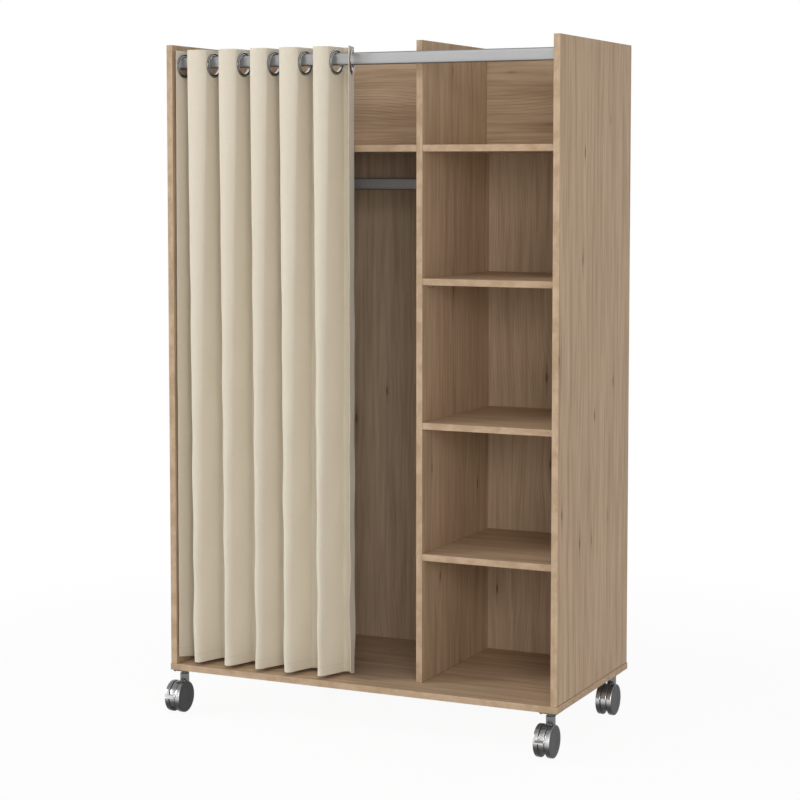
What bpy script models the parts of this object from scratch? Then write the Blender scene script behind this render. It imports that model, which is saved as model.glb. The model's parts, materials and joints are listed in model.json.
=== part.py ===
"""An open wardrobe on castors: a hanging space, a column of shelves and an eyelet curtain.

Metres, +Z up, the front towards -Y and the left side towards -X. The origin is on the floor,
under the middle of the whole object's box.
"""

import math

import bmesh
import bpy
from mathutils import Matrix, Vector
from mathutils.geometry import interpolate_bezier

# Running and seating clearances
SEAT_GAP = 0.0003  # between two pieces that touch
RUNNING_GAP = 0.0003  # between a shaft and its bore
OVERRUN = 0.004  # how far a cutter passes the faces that it cuts
WELD = 0.00001  # points closer than this are one point

# Carcass
CABINET_WIDTH = 1.034  # over the two sides
CABINET_DEPTH = 0.496
CABINET_HEIGHT = 1.560  # underside of the bottom panel to the top of the sides
BOARD = 0.016
BACK_SHEET = 0.003
EDGE_BEVEL = 0.0006
BOTTOM_LIP = 0.002  # how far the bottom panel passes each side
HANGING_WIDTH = 0.624  # clear width left of the divider
FRONT_SETBACK = 0.081  # divider and shelves behind the sides' front edges
BOTTOM_BAY = 0.299  # clear heights between the shelves, the first two from the bottom panel up
LOW_BAY = 0.302
UPPER_BAY = 0.302  # from the top shelf down; the bay between this one and the low bay takes the rest
TOP_BAY = 0.247  # from the top shelf's upper face to the top of the sides

# Shelf pins
PIN_SPIGOT = 0.005  # diameter of the end in the board
PIN_HEAD = 0.008  # diameter of the end that carries the shelf
PIN_DEPTH = 0.009  # length in the board
PIN_REACH = 0.010  # length under the shelf
PIN_SETBACK = 0.037  # from the shelf's front edge, and from its rear edge
PIN_SIDES = 12

# Oval rods
ROD_TALL = 0.030
ROD_THICK = 0.015
ROD_WALL = 0.001
ROD_SIDES = 8  # on each round end of the oval
CUP_WALL = 0.0015
CUP_FLOOR = 0.0015
CUP_DEPTH = 0.007
CURTAIN_ROD_DROP = 0.0427  # rod's axis below the top of the sides
CURTAIN_ROD_SETBACK = 0.040  # rod's axis behind the sides' front edges
RAIL_DROP = 0.078  # rail's axis below the underside of the top shelf
RAIL_SETBACK = 0.280

# Eyelets
EYELET_COUNT = 12
EYELET_OUTER = 0.061
EYELET_INNER = 0.045
EYELET_THICK = 0.0068
EYELET_SIDES = 16
FIRST_EYELET = 0.027  # from the left side's outer face
PLEAT_PITCH = 0.0841  # from one odd eyelet to the next
EYELET_LEAN = math.radians(5.5)  # of an odd eyelet's strip of cloth from the depth direction
LAST_LEAN = math.radians(16.6)
# From each odd eyelet to the even one after it, as shares of the pitch
EVEN_EYELET_SHARES = (0.31, 0.36, 0.40, 0.35, 0.44, 0.49)
# The clamped rim's half profile from the bore outwards: shares of the rim's width and half thickness
RIM_SHARES = ((0.19, 0.88), (0.56, 1.0), (0.95, 0.59))
GROOVE_SHARE = 0.36  # of the rim's width, from the bore to the bottom of the cloth's groove

# Curtain
CLOTH = 0.001
CLOTH_HEADING = 0.006  # cloth above the eyelets
HEM_CLEARANCE = 0.009  # hem above the bottom panel
END_RISE = 0.009  # how much higher the hem hangs at the two free edges
# Seen from above, straight strips run through the eyelets and bends join them: crests in front and
# troughs at the back. Depths are measured behind the sides' front edges
STRIP_FRONT = 0.0092
STRIP_BACK = 0.0718
CREST_LEFT_HANDLE = 0.022  # a bend's handles go on from the strips, by these lengths at the heading
CREST_RIGHT_HANDLE = 0.012
TROUGH_HANDLE = 0.0095
HEM_CREST_HANDLE = 0.016
HEM_STRIP_FRONT = 0.015
HEM_CREST_SHIFT = 0.0035  # how far the strip on a crest's left has moved to the right, at its front end
HEM_CREST_SHARE = 0.46  # the space between a crest's two strips, of that between them at the heading
HEM_LEFT_LEAN = math.radians(16)  # of the strip on a crest's left, which runs back to the left
HEM_RIGHT_LEAN = math.radians(21)
HEM_EDGE_LEAN = math.radians(9)  # of the strip at the left free edge
HEADING_BAND = 0.085  # stretch below the top edge that keeps the shape the eyelets give it
LEFT_EDGE_FRONT = 0.006
LEFT_EDGE_STANDOFF = 0.0045  # from the left side's inner face to the cloth, at the hem
FREE_EDGE_FRONT = 0.002
HEM_FREE_EDGE_FRONT = 0.028
HEM_FREE_EDGE_SHIFT = 0.012  # how far the right free edge has moved to the left
CREST_POINTS = 10
TROUGH_POINTS = 6
# Rows of the cloth below the heading band: shares of the drop, and of the change in the folds
ROW_SHARES = ((0.4, 0.56), (1.0, 1.0))

# Castors
CASTOR_HEIGHT = 0.103  # floor to the underside of the bottom panel
CASTOR_SIDE_INSET = 0.024  # swivel axis inside the sides' outer faces
CASTOR_FRONT_INSET = 0.025
CASTOR_REAR_INSET = 0.045
TRAIL = 0.026  # axle in front of the swivel axis
WHEEL_RADIUS = 0.039
WHEEL_WIDTH = 0.013
WHEEL_GAP = 0.0008  # between a wheel and the hood
WHEEL_SIDES = 32
# From the outer face's centre round the tread to the inner face: shares of the radius and the width
WHEEL_SHARES = (
    (0.0, 0.96), (0.55, 1.0), (0.93, 0.99), (0.98, 0.94), (1.0, 0.83), (1.0, 0.07), (0.98, 0.0),
)
WHEEL_FACE = 0.004  # left between the blind bore and the outer face
AXLE_RADIUS = 0.003
SMALL_SIDES = 12
HOOD_WIDTH = 0.014
HOOD_RADIUS = 0.0382
HOOD_SIDES = 24
HUB_RADIUS = 0.013
HOOD_FRONT = math.radians(-32)  # ends of the hood's arc, from straight ahead over the top
HOOD_REAR = math.radians(212)
HUB_REAR = math.radians(238)
HUB_FRONT = math.radians(302)
NECK_RADIUS = 0.0115
NECK_FOOT = 0.020  # lower end of the neck above the axle
NECK_SIDES = 24
TREAD_CLEARANCE = 0.0012
PLATE_SIDE = 0.044
PLATE_THICK = 0.0025
PLATE_CORNER = 0.004
BOSS_RADIUS = 0.0085
BOSS_HEIGHT = 0.0075
SWIVEL_RADIUS = 0.0048
SWIVEL_LENGTH = 0.024
SCREW_SPACING = 0.035
SCREW_HEAD = 0.0072
SCREW_CROWN_SHARE = 0.55  # of the head's diameter, at its lower end
SCREW_HEIGHT = 0.0024

# Brake levers, in the slotted hoods of the front castors
LEVER_REACH = 0.056  # tip of the tab in front of the axle
PIVOT_FORWARD = 0.022
PIVOT_UP = 0.006
PIVOT_RADIUS = 0.0016
LEVER_WIDTH = 0.0074
TAB_WIDTH = 0.022
ROCKER_RADIUS = 0.015  # the lever's round body
ROCKER_GAP = 0.0006  # round that body, in the hood's pocket
ROCKER_SIDES = 24
STEM_FOOT = math.radians(7)  # the stem leaves the body between these two angles up from straight ahead
STEM_HEAD = math.radians(20)
SLOT_GAP = 0.0004  # each side of the lever
LEVER_GAP = 0.0004  # between the lever's hole and its pin
# The opening for the stem, from the pivot: its inner end, its top and its floor
SLOT_REAR = 0.012
SLOT_TOP = 0.0095
SLOT_FLOOR = 0.0034
# Outlines round the pivot, as shares of the pivot-to-tip reach: forwards and up
STEM_SHARES = ((0.60, 0.055), (0.60, 0.15))
TAB_SHARES = (
    (0.54, 0.05), (0.54, 0.165), (0.72, 0.15), (0.93, 0.075), (1.0, 0.015), (1.0, -0.03), (0.72, 0.05),
)

# Places worked out from the sizes above
FRONT_REACH = TRAIL + LEVER_REACH - CASTOR_FRONT_INSET
FRONT_Y = (FRONT_REACH - CABINET_DEPTH) / 2
REAR_Y = FRONT_Y + CABINET_DEPTH
INNER_REAR_Y = REAR_Y - BACK_SHEET - SEAT_GAP
SHELF_FRONT_Y = FRONT_Y + FRONT_SETBACK
LEFT_X = -CABINET_WIDTH / 2
RIGHT_X = CABINET_WIDTH / 2
LEFT_INNER_X = LEFT_X + BOARD
RIGHT_INNER_X = RIGHT_X - BOARD
DIVIDER_X = LEFT_INNER_X + HANGING_WIDTH
DECK_Z = CASTOR_HEIGHT + BOARD
TOP_Z = CASTOR_HEIGHT + CABINET_HEIGHT
LOWER_SHELF_Z = DECK_Z + BOTTOM_BAY
MIDDLE_SHELF_Z = LOWER_SHELF_Z + BOARD + LOW_BAY
TOP_BAY_Z = TOP_Z - TOP_BAY
TOP_SHELF_Z = TOP_BAY_Z - BOARD
UPPER_SHELF_Z = TOP_SHELF_Z - UPPER_BAY - BOARD
CURTAIN_ROD_Y = FRONT_Y + CURTAIN_ROD_SETBACK
CURTAIN_ROD_Z = TOP_Z - CURTAIN_ROD_DROP
EYELET_Z = CURTAIN_ROD_Z + ROD_TALL / 2 + SEAT_GAP - EYELET_INNER / 2
CLOTH_TOP_Z = EYELET_Z + EYELET_OUTER / 2 + CLOTH_HEADING
GROOVE_RADIUS = EYELET_INNER / 2 + GROOVE_SHARE * (EYELET_OUTER - EYELET_INNER) / 2

# Local X, Y and Z become world Y, Z and X: an outline drawn in depth and height runs across the width
ACROSS = Matrix(((0, 0, 1), (1, 0, 0), (0, 1, 0))).to_4x4()

WARDROBE = "wardrobe"
CUTTERS = "cutters"


def clear_scene():
    """Empty the scene and make the two collections."""
    for obj in list(bpy.data.objects):
        bpy.data.objects.remove(obj, do_unlink=True)
    for name in (WARDROBE, CUTTERS):
        collection = bpy.data.collections.new(name)
        bpy.context.scene.collection.children.link(collection)


def make_material(name, colour, roughness, metallic=0.0):
    """A Principled material in one colour."""
    material = bpy.data.materials.new(name)
    material.use_nodes = True
    shader = material.node_tree.nodes["Principled BSDF"]
    shader.inputs["Base Color"].default_value = (*colour, 1)
    shader.inputs["Roughness"].default_value = roughness
    shader.inputs["Metallic"].default_value = metallic
    return material


def make_object(name, mesh, matrix, material=None):
    """A part when it has a material, and otherwise a helper that cuts or joins."""
    obj = bpy.data.objects.new(name, mesh)
    obj.matrix_world = matrix
    if material:
        mesh.materials.append(material)
        bpy.data.collections[WARDROBE].objects.link(obj)
    else:
        obj.hide_render = True
        obj.display_type = "WIRE"
        bpy.data.collections[CUTTERS].objects.link(obj)
    return obj


def mesh_from(bm, name):
    mesh = bpy.data.meshes.new(name)
    bm.to_mesh(mesh)
    bm.free()
    return mesh


def box(name, low, high, material=None):
    """A box between two corners, with its origin at its centre."""
    low, high = Vector(low), Vector(high)
    bm = bmesh.new()
    bmesh.ops.create_cube(bm, size=1, matrix=Matrix.Diagonal(high - low).to_4x4())
    return make_object(name, mesh_from(bm, name), Matrix.Translation((low + high) / 2), material)


def board(name, low, high, material):
    """A box with its edges broken."""
    obj = box(name, low, high, material)
    bevel = obj.modifiers.new("edges", "BEVEL")
    bevel.width = EDGE_BEVEL
    bevel.segments = 1
    bevel.limit_method = "ANGLE"
    return obj


def prism(name, outlines, depth, matrix, material=None):
    """A flat outline in local X and Y, with any inner outlines as holes, given a depth along Z."""
    curve = bpy.data.curves.new(name, "CURVE")
    curve.dimensions = "2D"
    curve.fill_mode = "BOTH"
    curve.extrude = depth / 2
    for outline in outlines:
        spline = curve.splines.new("POLY")
        spline.points.add(len(outline) - 1)
        spline.use_cyclic_u = True
        for point, (x, y) in zip(spline.points, outline):
            point.co = (x, y, 0, 1)
    flat = bpy.data.objects.new(name, curve)
    bpy.data.collections[CUTTERS].objects.link(flat)
    graph = bpy.context.evaluated_depsgraph_get()
    mesh = bpy.data.meshes.new_from_object(flat.evaluated_get(graph))
    bpy.data.objects.remove(flat)
    bm = bmesh.new()
    bm.from_mesh(mesh)
    bmesh.ops.remove_doubles(bm, verts=bm.verts, dist=WELD)
    bmesh.ops.recalc_face_normals(bm, faces=bm.faces)
    bpy.data.meshes.remove(mesh)
    return make_object(name, mesh_from(bm, name), matrix, material)


def cylinder(name, radius, depth, sides, matrix, material=None, end_radius=None):
    """A cylinder, or a cone frustum, along local Z and centred on its origin."""
    bm = bmesh.new()
    far = radius if end_radius is None else end_radius
    bmesh.ops.create_cone(bm, cap_ends=True, segments=sides, radius1=radius, radius2=far, depth=depth)
    obj = make_object(name, mesh_from(bm, name), matrix, material)
    smooth(obj)
    return obj


def turned(name, profile, sides, matrix, material=None, closed=False):
    """A profile of radii and heights, outer side down, turned round local Z."""
    bm = bmesh.new()
    points = [bm.verts.new((radius, 0, height)) for radius, height in profile]
    for first, second in zip(points, points[1:]):
        bm.edges.new((first, second))
    if closed:
        bm.edges.new((points[-1], points[0]))
    obj = make_object(name, mesh_from(bm, name), matrix, material)
    screw = obj.modifiers.new("turn", "SCREW")
    screw.steps = screw.render_steps = sides
    screw.use_merge_vertices = True
    screw.merge_threshold = WELD
    screw.use_smooth_shade = True
    return obj


def smooth(obj):
    obj.data.shade_smooth()
    obj.data.set_sharp_from_angle(angle=math.radians(35))


def combine(obj, tool, operation):
    """Cut, join or intersect with a helper."""
    boolean = obj.modifiers.new(f"{operation.lower()} {tool.name}", "BOOLEAN")
    boolean.operation = operation
    boolean.solver = "EXACT"
    boolean.object = tool
    return obj


def arc(centre, radius, start, end, steps):
    """Points on an arc, both ends included."""
    angles = [start + (end - start) * i / steps for i in range(steps + 1)]
    return [(centre[0] + radius * math.cos(a), centre[1] + radius * math.sin(a)) for a in angles]


def oval(thick, tall, sides):
    """A standing oval: two half circles joined by straight sides."""
    radius = thick / 2
    rise = tall / 2 - radius
    return arc((0, rise), radius, 0, math.pi, sides) + arc((0, -rise), radius, math.pi, 2 * math.pi, sides)


def rounded_square(side, radius, steps):
    reach = side / 2 - radius
    points = []
    for quarter, (x, y) in enumerate(((1, 1), (-1, 1), (-1, -1), (1, -1))):
        start = quarter * math.pi / 2
        points += arc((x * reach, y * reach), radius, start, start + math.pi / 2, steps)
    return points


def place(x, y, z):
    return Matrix.Translation((x, y, z))


def make_carcass(oak):
    """The boards, each standing a seat's gap off the ones that it touches."""
    board(
        "bottom_panel",
        (LEFT_X - BOTTOM_LIP, FRONT_Y, CASTOR_HEIGHT),
        (RIGHT_X + BOTTOM_LIP, REAR_Y, DECK_Z),
        oak,
    )
    foot = DECK_Z + SEAT_GAP
    board("left_side", (LEFT_X, FRONT_Y, foot), (LEFT_INNER_X, REAR_Y, TOP_Z), oak)
    right = board("right_side", (RIGHT_INNER_X, FRONT_Y, foot), (RIGHT_X, REAR_Y, TOP_Z), oak)
    divider = board(
        "divider", (DIVIDER_X, SHELF_FRONT_Y, foot), (DIVIDER_X + BOARD, INNER_REAR_Y, TOP_Z), oak
    )
    back_front_y = INNER_REAR_Y - BOARD
    notch = box(
        "divider_notch",
        (DIVIDER_X - OVERRUN, back_front_y - SEAT_GAP, TOP_BAY_Z),
        (DIVIDER_X + BOARD + OVERRUN, INNER_REAR_Y + OVERRUN, TOP_Z + OVERRUN),
    )
    combine(divider, notch, "DIFFERENCE")
    board(
        "back_top",
        (LEFT_INNER_X + SEAT_GAP, back_front_y, TOP_BAY_Z + SEAT_GAP),
        (RIGHT_INNER_X - SEAT_GAP, INNER_REAR_Y, TOP_Z),
        oak,
    )
    shelf("top_shelf_left", LEFT_INNER_X, DIVIDER_X, TOP_SHELF_Z, oak)
    for name, z in (
        ("top_shelf_right", TOP_SHELF_Z),
        ("shelf_upper", UPPER_SHELF_Z),
        ("shelf_middle", MIDDLE_SHELF_Z),
        ("shelf_lower", LOWER_SHELF_Z),
    ):
        shelf(name, DIVIDER_X + BOARD, RIGHT_INNER_X, z, oak)
    return divider, right


def shelf(name, left, right, z, oak):
    """A board between two uprights, by the height of its underside."""
    low = (left + SEAT_GAP, SHELF_FRONT_Y, z)
    board(name, low, (right - SEAT_GAP, INNER_REAR_Y, z + BOARD), oak)


def make_backs(sheet):
    """Two thin sheets between the sides, meeting behind the divider."""
    seam = DIVIDER_X + BOARD / 2
    low, high = DECK_Z + SEAT_GAP, TOP_BAY_Z
    for name, left, right in (("back_left", LEFT_INNER_X, seam), ("back_right", seam, RIGHT_INNER_X)):
        box(name, (left + SEAT_GAP, REAR_Y - BACK_SHEET, low), (right - SEAT_GAP, REAR_Y, high), sheet)


def make_shelf_pins(divider, right_side, steel):
    """Four pins in drilled holes, with the upper shelf resting on their heads."""
    z = UPPER_SHELF_Z - SEAT_GAP - PIN_HEAD / 2
    spigot, head = PIN_SPIGOT / 2, PIN_HEAD / 2
    profile = [
        (0, PIN_REACH), (head, PIN_REACH), (head, SEAT_GAP),
        (spigot, SEAT_GAP), (spigot, -PIN_DEPTH), (0, -PIN_DEPTH),
    ]
    for depth_name, y in (("front", SHELF_FRONT_Y + PIN_SETBACK), ("rear", INNER_REAR_Y - PIN_SETBACK)):
        for side_name, x, turn, wall in (
            ("left", DIVIDER_X + BOARD, 0, divider),
            ("right", RIGHT_INNER_X, math.pi, right_side),
        ):
            matrix = place(x, y, z) @ Matrix.Rotation(turn, 4, "Z") @ ACROSS
            turned(f"shelf_pin_{depth_name}_{side_name}", profile, PIN_SIDES, matrix, steel)
            depth = PIN_DEPTH + SEAT_GAP
            inwards = -1 if side_name == "left" else 1
            middle = x + inwards * (depth - OVERRUN) / 2
            hole = cylinder(
                f"pin_hole_{depth_name}_{side_name}",
                spigot + SEAT_GAP,
                depth + OVERRUN,
                PIN_SIDES,
                place(middle, y, z) @ ACROSS,
            )
            combine(wall, hole, "DIFFERENCE")


def make_rod(rod_name, cup_stem, left, right, y, z, aluminium, zinc):
    """An oval tube held by a cup on each of the two faces that it runs between."""
    inset = CUP_FLOOR + 2 * SEAT_GAP
    wall = 2 * ROD_WALL
    outlines = [oval(ROD_THICK, ROD_TALL, ROD_SIDES), oval(ROD_THICK - wall, ROD_TALL - wall, ROD_SIDES)]
    centre = place((left + right) / 2, y, z) @ ACROSS
    smooth(prism(rod_name, outlines, right - left - 2 * inset, centre, aluminium))
    grown = 2 * (RUNNING_GAP + CUP_WALL)
    bore = 2 * RUNNING_GAP
    for side_name, face, inwards in (("left", left, 1), ("right", right, -1)):
        middle = face + inwards * (SEAT_GAP + CUP_DEPTH / 2)
        cup = prism(
            f"{cup_stem}_{side_name}",
            [oval(ROD_THICK + grown, ROD_TALL + grown, ROD_SIDES)],
            CUP_DEPTH,
            place(middle, y, z) @ ACROSS,
            zinc,
        )
        smooth(cup)
        hollow = prism(
            f"{cup_stem}_{side_name}_hollow",
            [oval(ROD_THICK + bore, ROD_TALL + bore, ROD_SIDES)],
            CUP_DEPTH,
            place(middle + inwards * CUP_FLOOR, y, z) @ ACROSS,
        )
        combine(cup, hollow, "DIFFERENCE")


def eyelet_places():
    """Each eyelet's x and the lean of its strip of cloth, positive where it runs back to the right."""
    places = []
    for pleat, share in enumerate(EVEN_EYELET_SHARES):
        x = LEFT_X + FIRST_EYELET + pleat * PLEAT_PITCH
        last = pleat == len(EVEN_EYELET_SHARES) - 1
        places.append((x, EYELET_LEAN))
        places.append((x + share * PLEAT_PITCH, -LAST_LEAN if last else -EYELET_LEAN))
    return places


def eyelet_matrix(x, lean):
    return place(x, CURTAIN_ROD_Y, EYELET_Z) @ Matrix.Rotation(-lean, 4, "Z") @ ACROSS


def make_eyelets(chrome):
    """Rings with domed faces and a groove round the rim that holds the cloth's edge."""
    bore = EYELET_INNER / 2
    rim = EYELET_OUTER / 2 - bore
    half = EYELET_THICK / 2
    groove = CLOTH / 2 + SEAT_GAP
    face = [(bore + radial * rim, axial * half) for radial, axial in RIM_SHARES]
    face += [(bore + rim, groove), (GROOVE_RADIUS, groove)]
    profile = face + [(radius, -height) for radius, height in reversed(face)] + [(bore, 0)]
    for number, (x, lean) in enumerate(eyelet_places(), start=1):
        turned(f"eyelet_{number:02d}", profile, EYELET_SIDES, eyelet_matrix(x, lean), chrome, closed=True)


def on_strip(x, lean, depth, at=CURTAIN_ROD_SETBACK):
    """A point of the strip that leans by this much and passes an x at one depth, if not told the rod's."""
    return Vector((x + math.tan(lean) * (depth - at), FRONT_Y + depth))


def strip_ends(change):
    """Front and back ends of the strips seen from above: 0 gives the heading's, 1 the hem's."""
    places = eyelet_places()
    fronts = [LEFT_EDGE_FRONT] + [STRIP_FRONT] * (EYELET_COUNT - 2) + [FREE_EDGE_FRONT]
    heading = [
        (on_strip(x, lean, front), on_strip(x, lean, STRIP_BACK))
        for (x, lean), front in zip(places, fronts)
    ]
    feet = [(LEFT_INNER_X + LEFT_EDGE_STANDOFF, HEM_EDGE_LEAN, LEFT_EDGE_FRONT)]
    for (even_front, _), (odd_front, _) in zip(heading[1:-1:2], heading[2::2]):
        left = even_front.x + HEM_CREST_SHIFT
        right = left + HEM_CREST_SHARE * (odd_front.x - even_front.x)
        feet += [(left, -HEM_LEFT_LEAN, HEM_STRIP_FRONT), (right, HEM_RIGHT_LEAN, HEM_STRIP_FRONT)]
    hem = [
        (on_strip(x, lean, front, front), on_strip(x, lean, STRIP_BACK, front)) for x, lean, front in feet
    ]
    free_front, free_back = heading[-1]
    free_edge = Vector((free_front.x - HEM_FREE_EDGE_SHIFT, FRONT_Y + HEM_FREE_EDGE_FRONT))
    hem.append((free_edge, free_back))
    return [[a.lerp(b, change) for a, b in zip(above, below)] for above, below in zip(heading, hem)]


def fold_path(change):
    """The cloth's middle line seen from above: the strips and the bends that join them."""
    left_handle = CREST_LEFT_HANDLE + (HEM_CREST_HANDLE - CREST_LEFT_HANDLE) * change
    right_handle = CREST_RIGHT_HANDLE + (HEM_CREST_HANDLE - CREST_RIGHT_HANDLE) * change
    ends = strip_ends(change)
    path = [ends[0][0]]
    for number, (strip, following) in enumerate(zip(ends, ends[1:])):
        near = 0 if number % 2 else 1
        handles = (left_handle, right_handle) if number % 2 else (TROUGH_HANDLE, TROUGH_HANDLE)
        points = CREST_POINTS if number % 2 else TROUGH_POINTS
        knots = strip[near], following[near]
        onward = [(s[near] - s[1 - near]).normalized() for s in (strip, following)]
        grips = [knot + way * handle for knot, way, handle in zip(knots, onward, handles)]
        path += interpolate_bezier(knots[0], *grips, knots[1], points)
    path.append(ends[-1][0])
    return path


def make_curtain(fabric):
    """A flat grid folded by those paths, given the cloth's thickness and cut for the eyelets."""
    heading = CLOTH_TOP_Z - HEADING_BAND
    hem = DECK_Z + HEM_CLEARANCE
    rows = [(CLOTH_TOP_Z, 0), (heading, 0)]
    rows += [(heading + (hem - heading) * drop, change) for drop, change in ROW_SHARES]
    paths = [fold_path(change) for _, change in rows]
    columns = len(paths[0])
    bm = bmesh.new()
    bmesh.ops.create_grid(bm, x_segments=columns - 1, y_segments=len(rows) - 1, size=1)
    for vert in bm.verts:
        column = round((vert.co.x + 1) / 2 * (columns - 1))
        row = round((1 - vert.co.y) / 2 * (len(rows) - 1))
        z, change = rows[row]
        x, y = paths[row][column]
        # Only the last stretch at each end is drawn up
        off_middle = abs(2 * column / (columns - 1) - 1)
        rise = END_RISE * change * max(0, EYELET_COUNT * (off_middle - 1) + 1)
        vert.co = (x, y, z + rise)
    curtain = make_object("curtain", mesh_from(bm, "curtain"), Matrix(), fabric)
    curtain.data.shade_smooth()
    solid = curtain.modifiers.new("cloth", "SOLIDIFY")
    solid.thickness = CLOTH
    solid.offset = 0
    for number, (x, lean) in enumerate(eyelet_places(), start=1):
        hole = cylinder(
            f"cloth_hole_{number:02d}",
            GROOVE_RADIUS + SEAT_GAP,
            EYELET_THICK,
            EYELET_SIDES,
            eyelet_matrix(x, lean),
        )
        combine(curtain, hole, "DIFFERENCE")


def hood_outline():
    """The hood's side view round the axle: a disc to near wheel height, drawn in to a hub at the bottom."""
    def ring(radius, start, end, steps):
        return [(-math.cos(a) * radius, math.sin(a) * radius)
                for a in (start + (end - start) * i / steps for i in range(steps + 1))]

    return ring(HOOD_RADIUS, HOOD_FRONT, HOOD_REAR, HOOD_SIDES) + ring(HUB_RADIUS, HUB_REAR, HUB_FRONT, 4)


def make_housing(name, swivel, axle, plastic, braked):
    """The hood between the wheels, with the neck that turns on the plate's pin."""
    here = place(*axle) @ ACROSS
    housing = prism(f"{name}_housing", [hood_outline()], HOOD_WIDTH, here, plastic)
    neck_top = CASTOR_HEIGHT - SEAT_GAP - PLATE_THICK - BOSS_HEIGHT - SEAT_GAP
    neck_foot = axle.z + NECK_FOOT
    neck = cylinder(
        f"{name}_neck", NECK_RADIUS, neck_top - neck_foot, NECK_SIDES,
        place(swivel.x, swivel.y, (neck_top + neck_foot) / 2),
    )
    for side in (-1, 1):
        # Stops inside the hood's width, so that the two shapes overlap where they join
        inner = HOOD_WIDTH / 2 - SEAT_GAP
        outer = WHEEL_WIDTH + HOOD_WIDTH
        well = cylinder(
            f"{name}_well_{'left' if side < 0 else 'right'}",
            WHEEL_RADIUS + TREAD_CLEARANCE,
            outer - inner,
            WHEEL_SIDES,
            place(axle.x + side * (inner + outer) / 2, axle.y, axle.z) @ ACROSS,
        )
        combine(neck, well, "DIFFERENCE")
    combine(housing, neck, "UNION")
    bore_depth = SWIVEL_LENGTH + SEAT_GAP + OVERRUN
    swivel_bore = cylinder(
        f"{name}_swivel_bore", SWIVEL_RADIUS + RUNNING_GAP, bore_depth, NECK_SIDES,
        place(swivel.x, swivel.y, neck_top + OVERRUN - bore_depth / 2),
    )
    combine(housing, swivel_bore, "DIFFERENCE")
    axle_bore = cylinder(
        f"{name}_axle_bore", AXLE_RADIUS + RUNNING_GAP, HOOD_WIDTH + 2 * OVERRUN, SMALL_SIDES, here
    )
    combine(housing, axle_bore, "DIFFERENCE")
    if braked:
        half = LEVER_WIDTH / 2 + SLOT_GAP
        pivot = axle + Vector((0, -PIVOT_FORWARD, PIVOT_UP))
        here = place(*pivot) @ ACROSS
        pocket_radius = ROCKER_RADIUS + ROCKER_GAP
        pocket = cylinder(f"{name}_brake_pocket", pocket_radius, 2 * half, ROCKER_SIDES, here)
        combine(housing, pocket, "DIFFERENCE")
        slot = box(
            f"{name}_brake_slot",
            (pivot.x - half, axle.y - HOOD_RADIUS - OVERRUN, pivot.z - SLOT_FLOOR),
            (pivot.x + half, pivot.y - SLOT_REAR, pivot.z + SLOT_TOP),
        )
        combine(housing, slot, "DIFFERENCE")
        pin_length = HOOD_WIDTH - 2 * SLOT_GAP
        pin = cylinder(f"{name}_brake_pin", PIVOT_RADIUS, pin_length, SMALL_SIDES, here)
        combine(housing, pin, "UNION")
    return housing


def make_lever(name, axle, plastic):
    """A foot lever on the hood's cross pin: a round body in the pocket, a stem and a wide tab."""
    reach = LEVER_REACH - PIVOT_FORWARD
    here = place(axle.x, axle.y - PIVOT_FORWARD, axle.z + PIVOT_UP) @ ACROSS
    round_body = arc((0, 0), ROCKER_RADIUS, STEM_HEAD, STEM_FOOT + 2 * math.pi, ROCKER_SIDES)
    body = [(-forward, up) for forward, up in round_body]
    body += [(-forward * reach, up * reach) for forward, up in STEM_SHARES]
    tab = [(-forward * reach, up * reach) for forward, up in TAB_SHARES]
    lever = prism(f"{name}_brake_lever", [body], LEVER_WIDTH, here, plastic)
    combine(lever, prism(f"{name}_brake_tab", [tab], TAB_WIDTH, here), "UNION")
    hole_radius = PIVOT_RADIUS + LEVER_GAP
    hole = cylinder(f"{name}_lever_hole", hole_radius, LEVER_WIDTH + OVERRUN, SMALL_SIDES, here)
    combine(lever, hole, "DIFFERENCE")
    return lever


def make_plate(name, swivel, steel):
    """The plate under the bottom panel, with the swivel's boss and pin, and its four screw heads."""
    top = CASTOR_HEIGHT - SEAT_GAP
    under = top - PLATE_THICK
    plate = prism(
        f"{name}_plate", [rounded_square(PLATE_SIDE, PLATE_CORNER, 3)], PLATE_THICK,
        place(swivel.x, swivel.y, top - PLATE_THICK / 2), steel,
    )
    boss_foot = -PLATE_THICK / 2 - BOSS_HEIGHT
    profile = [
        (0, 0), (BOSS_RADIUS, 0), (BOSS_RADIUS, boss_foot), (SWIVEL_RADIUS, boss_foot),
        (SWIVEL_RADIUS, boss_foot - SWIVEL_LENGTH), (0, boss_foot - SWIVEL_LENGTH),
    ]
    post = turned(f"{name}_post", profile, NECK_SIDES, place(swivel.x, swivel.y, top - PLATE_THICK / 2))
    combine(plate, post, "UNION")
    bm = bmesh.new()
    height = SCREW_HEIGHT + PLATE_THICK / 2
    for x in (-1, 1):
        for y in (-1, 1):
            centre = place(x * SCREW_SPACING / 2, y * SCREW_SPACING / 2, -height / 2)
            bmesh.ops.create_cone(
                bm, cap_ends=True, segments=SMALL_SIDES, radius1=SCREW_CROWN_SHARE * SCREW_HEAD / 2,
                radius2=SCREW_HEAD / 2, depth=height, matrix=centre,
            )
    heads = make_object(
        f"{name}_screw_heads", mesh_from(bm, f"{name}_screw_heads"),
        place(swivel.x, swivel.y, under + PLATE_THICK / 2),
    )
    combine(plate, heads, "UNION")
    return plate


def wheel_profile():
    """Radii and distances from the castor's middle plane."""
    inner = HOOD_WIDTH / 2 + WHEEL_GAP
    # The flats between the corners stand at the wheel's radius
    corner_radius = WHEEL_RADIUS / math.cos(math.pi / WHEEL_SIDES)
    profile = [(r * corner_radius, inner + w * WHEEL_WIDTH) for r, w in WHEEL_SHARES]
    bore = AXLE_RADIUS + RUNNING_GAP
    bore_end = inner + WHEEL_WIDTH - WHEEL_FACE
    return profile + [(bore, inner), (bore, bore_end), (0, bore_end)]


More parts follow.
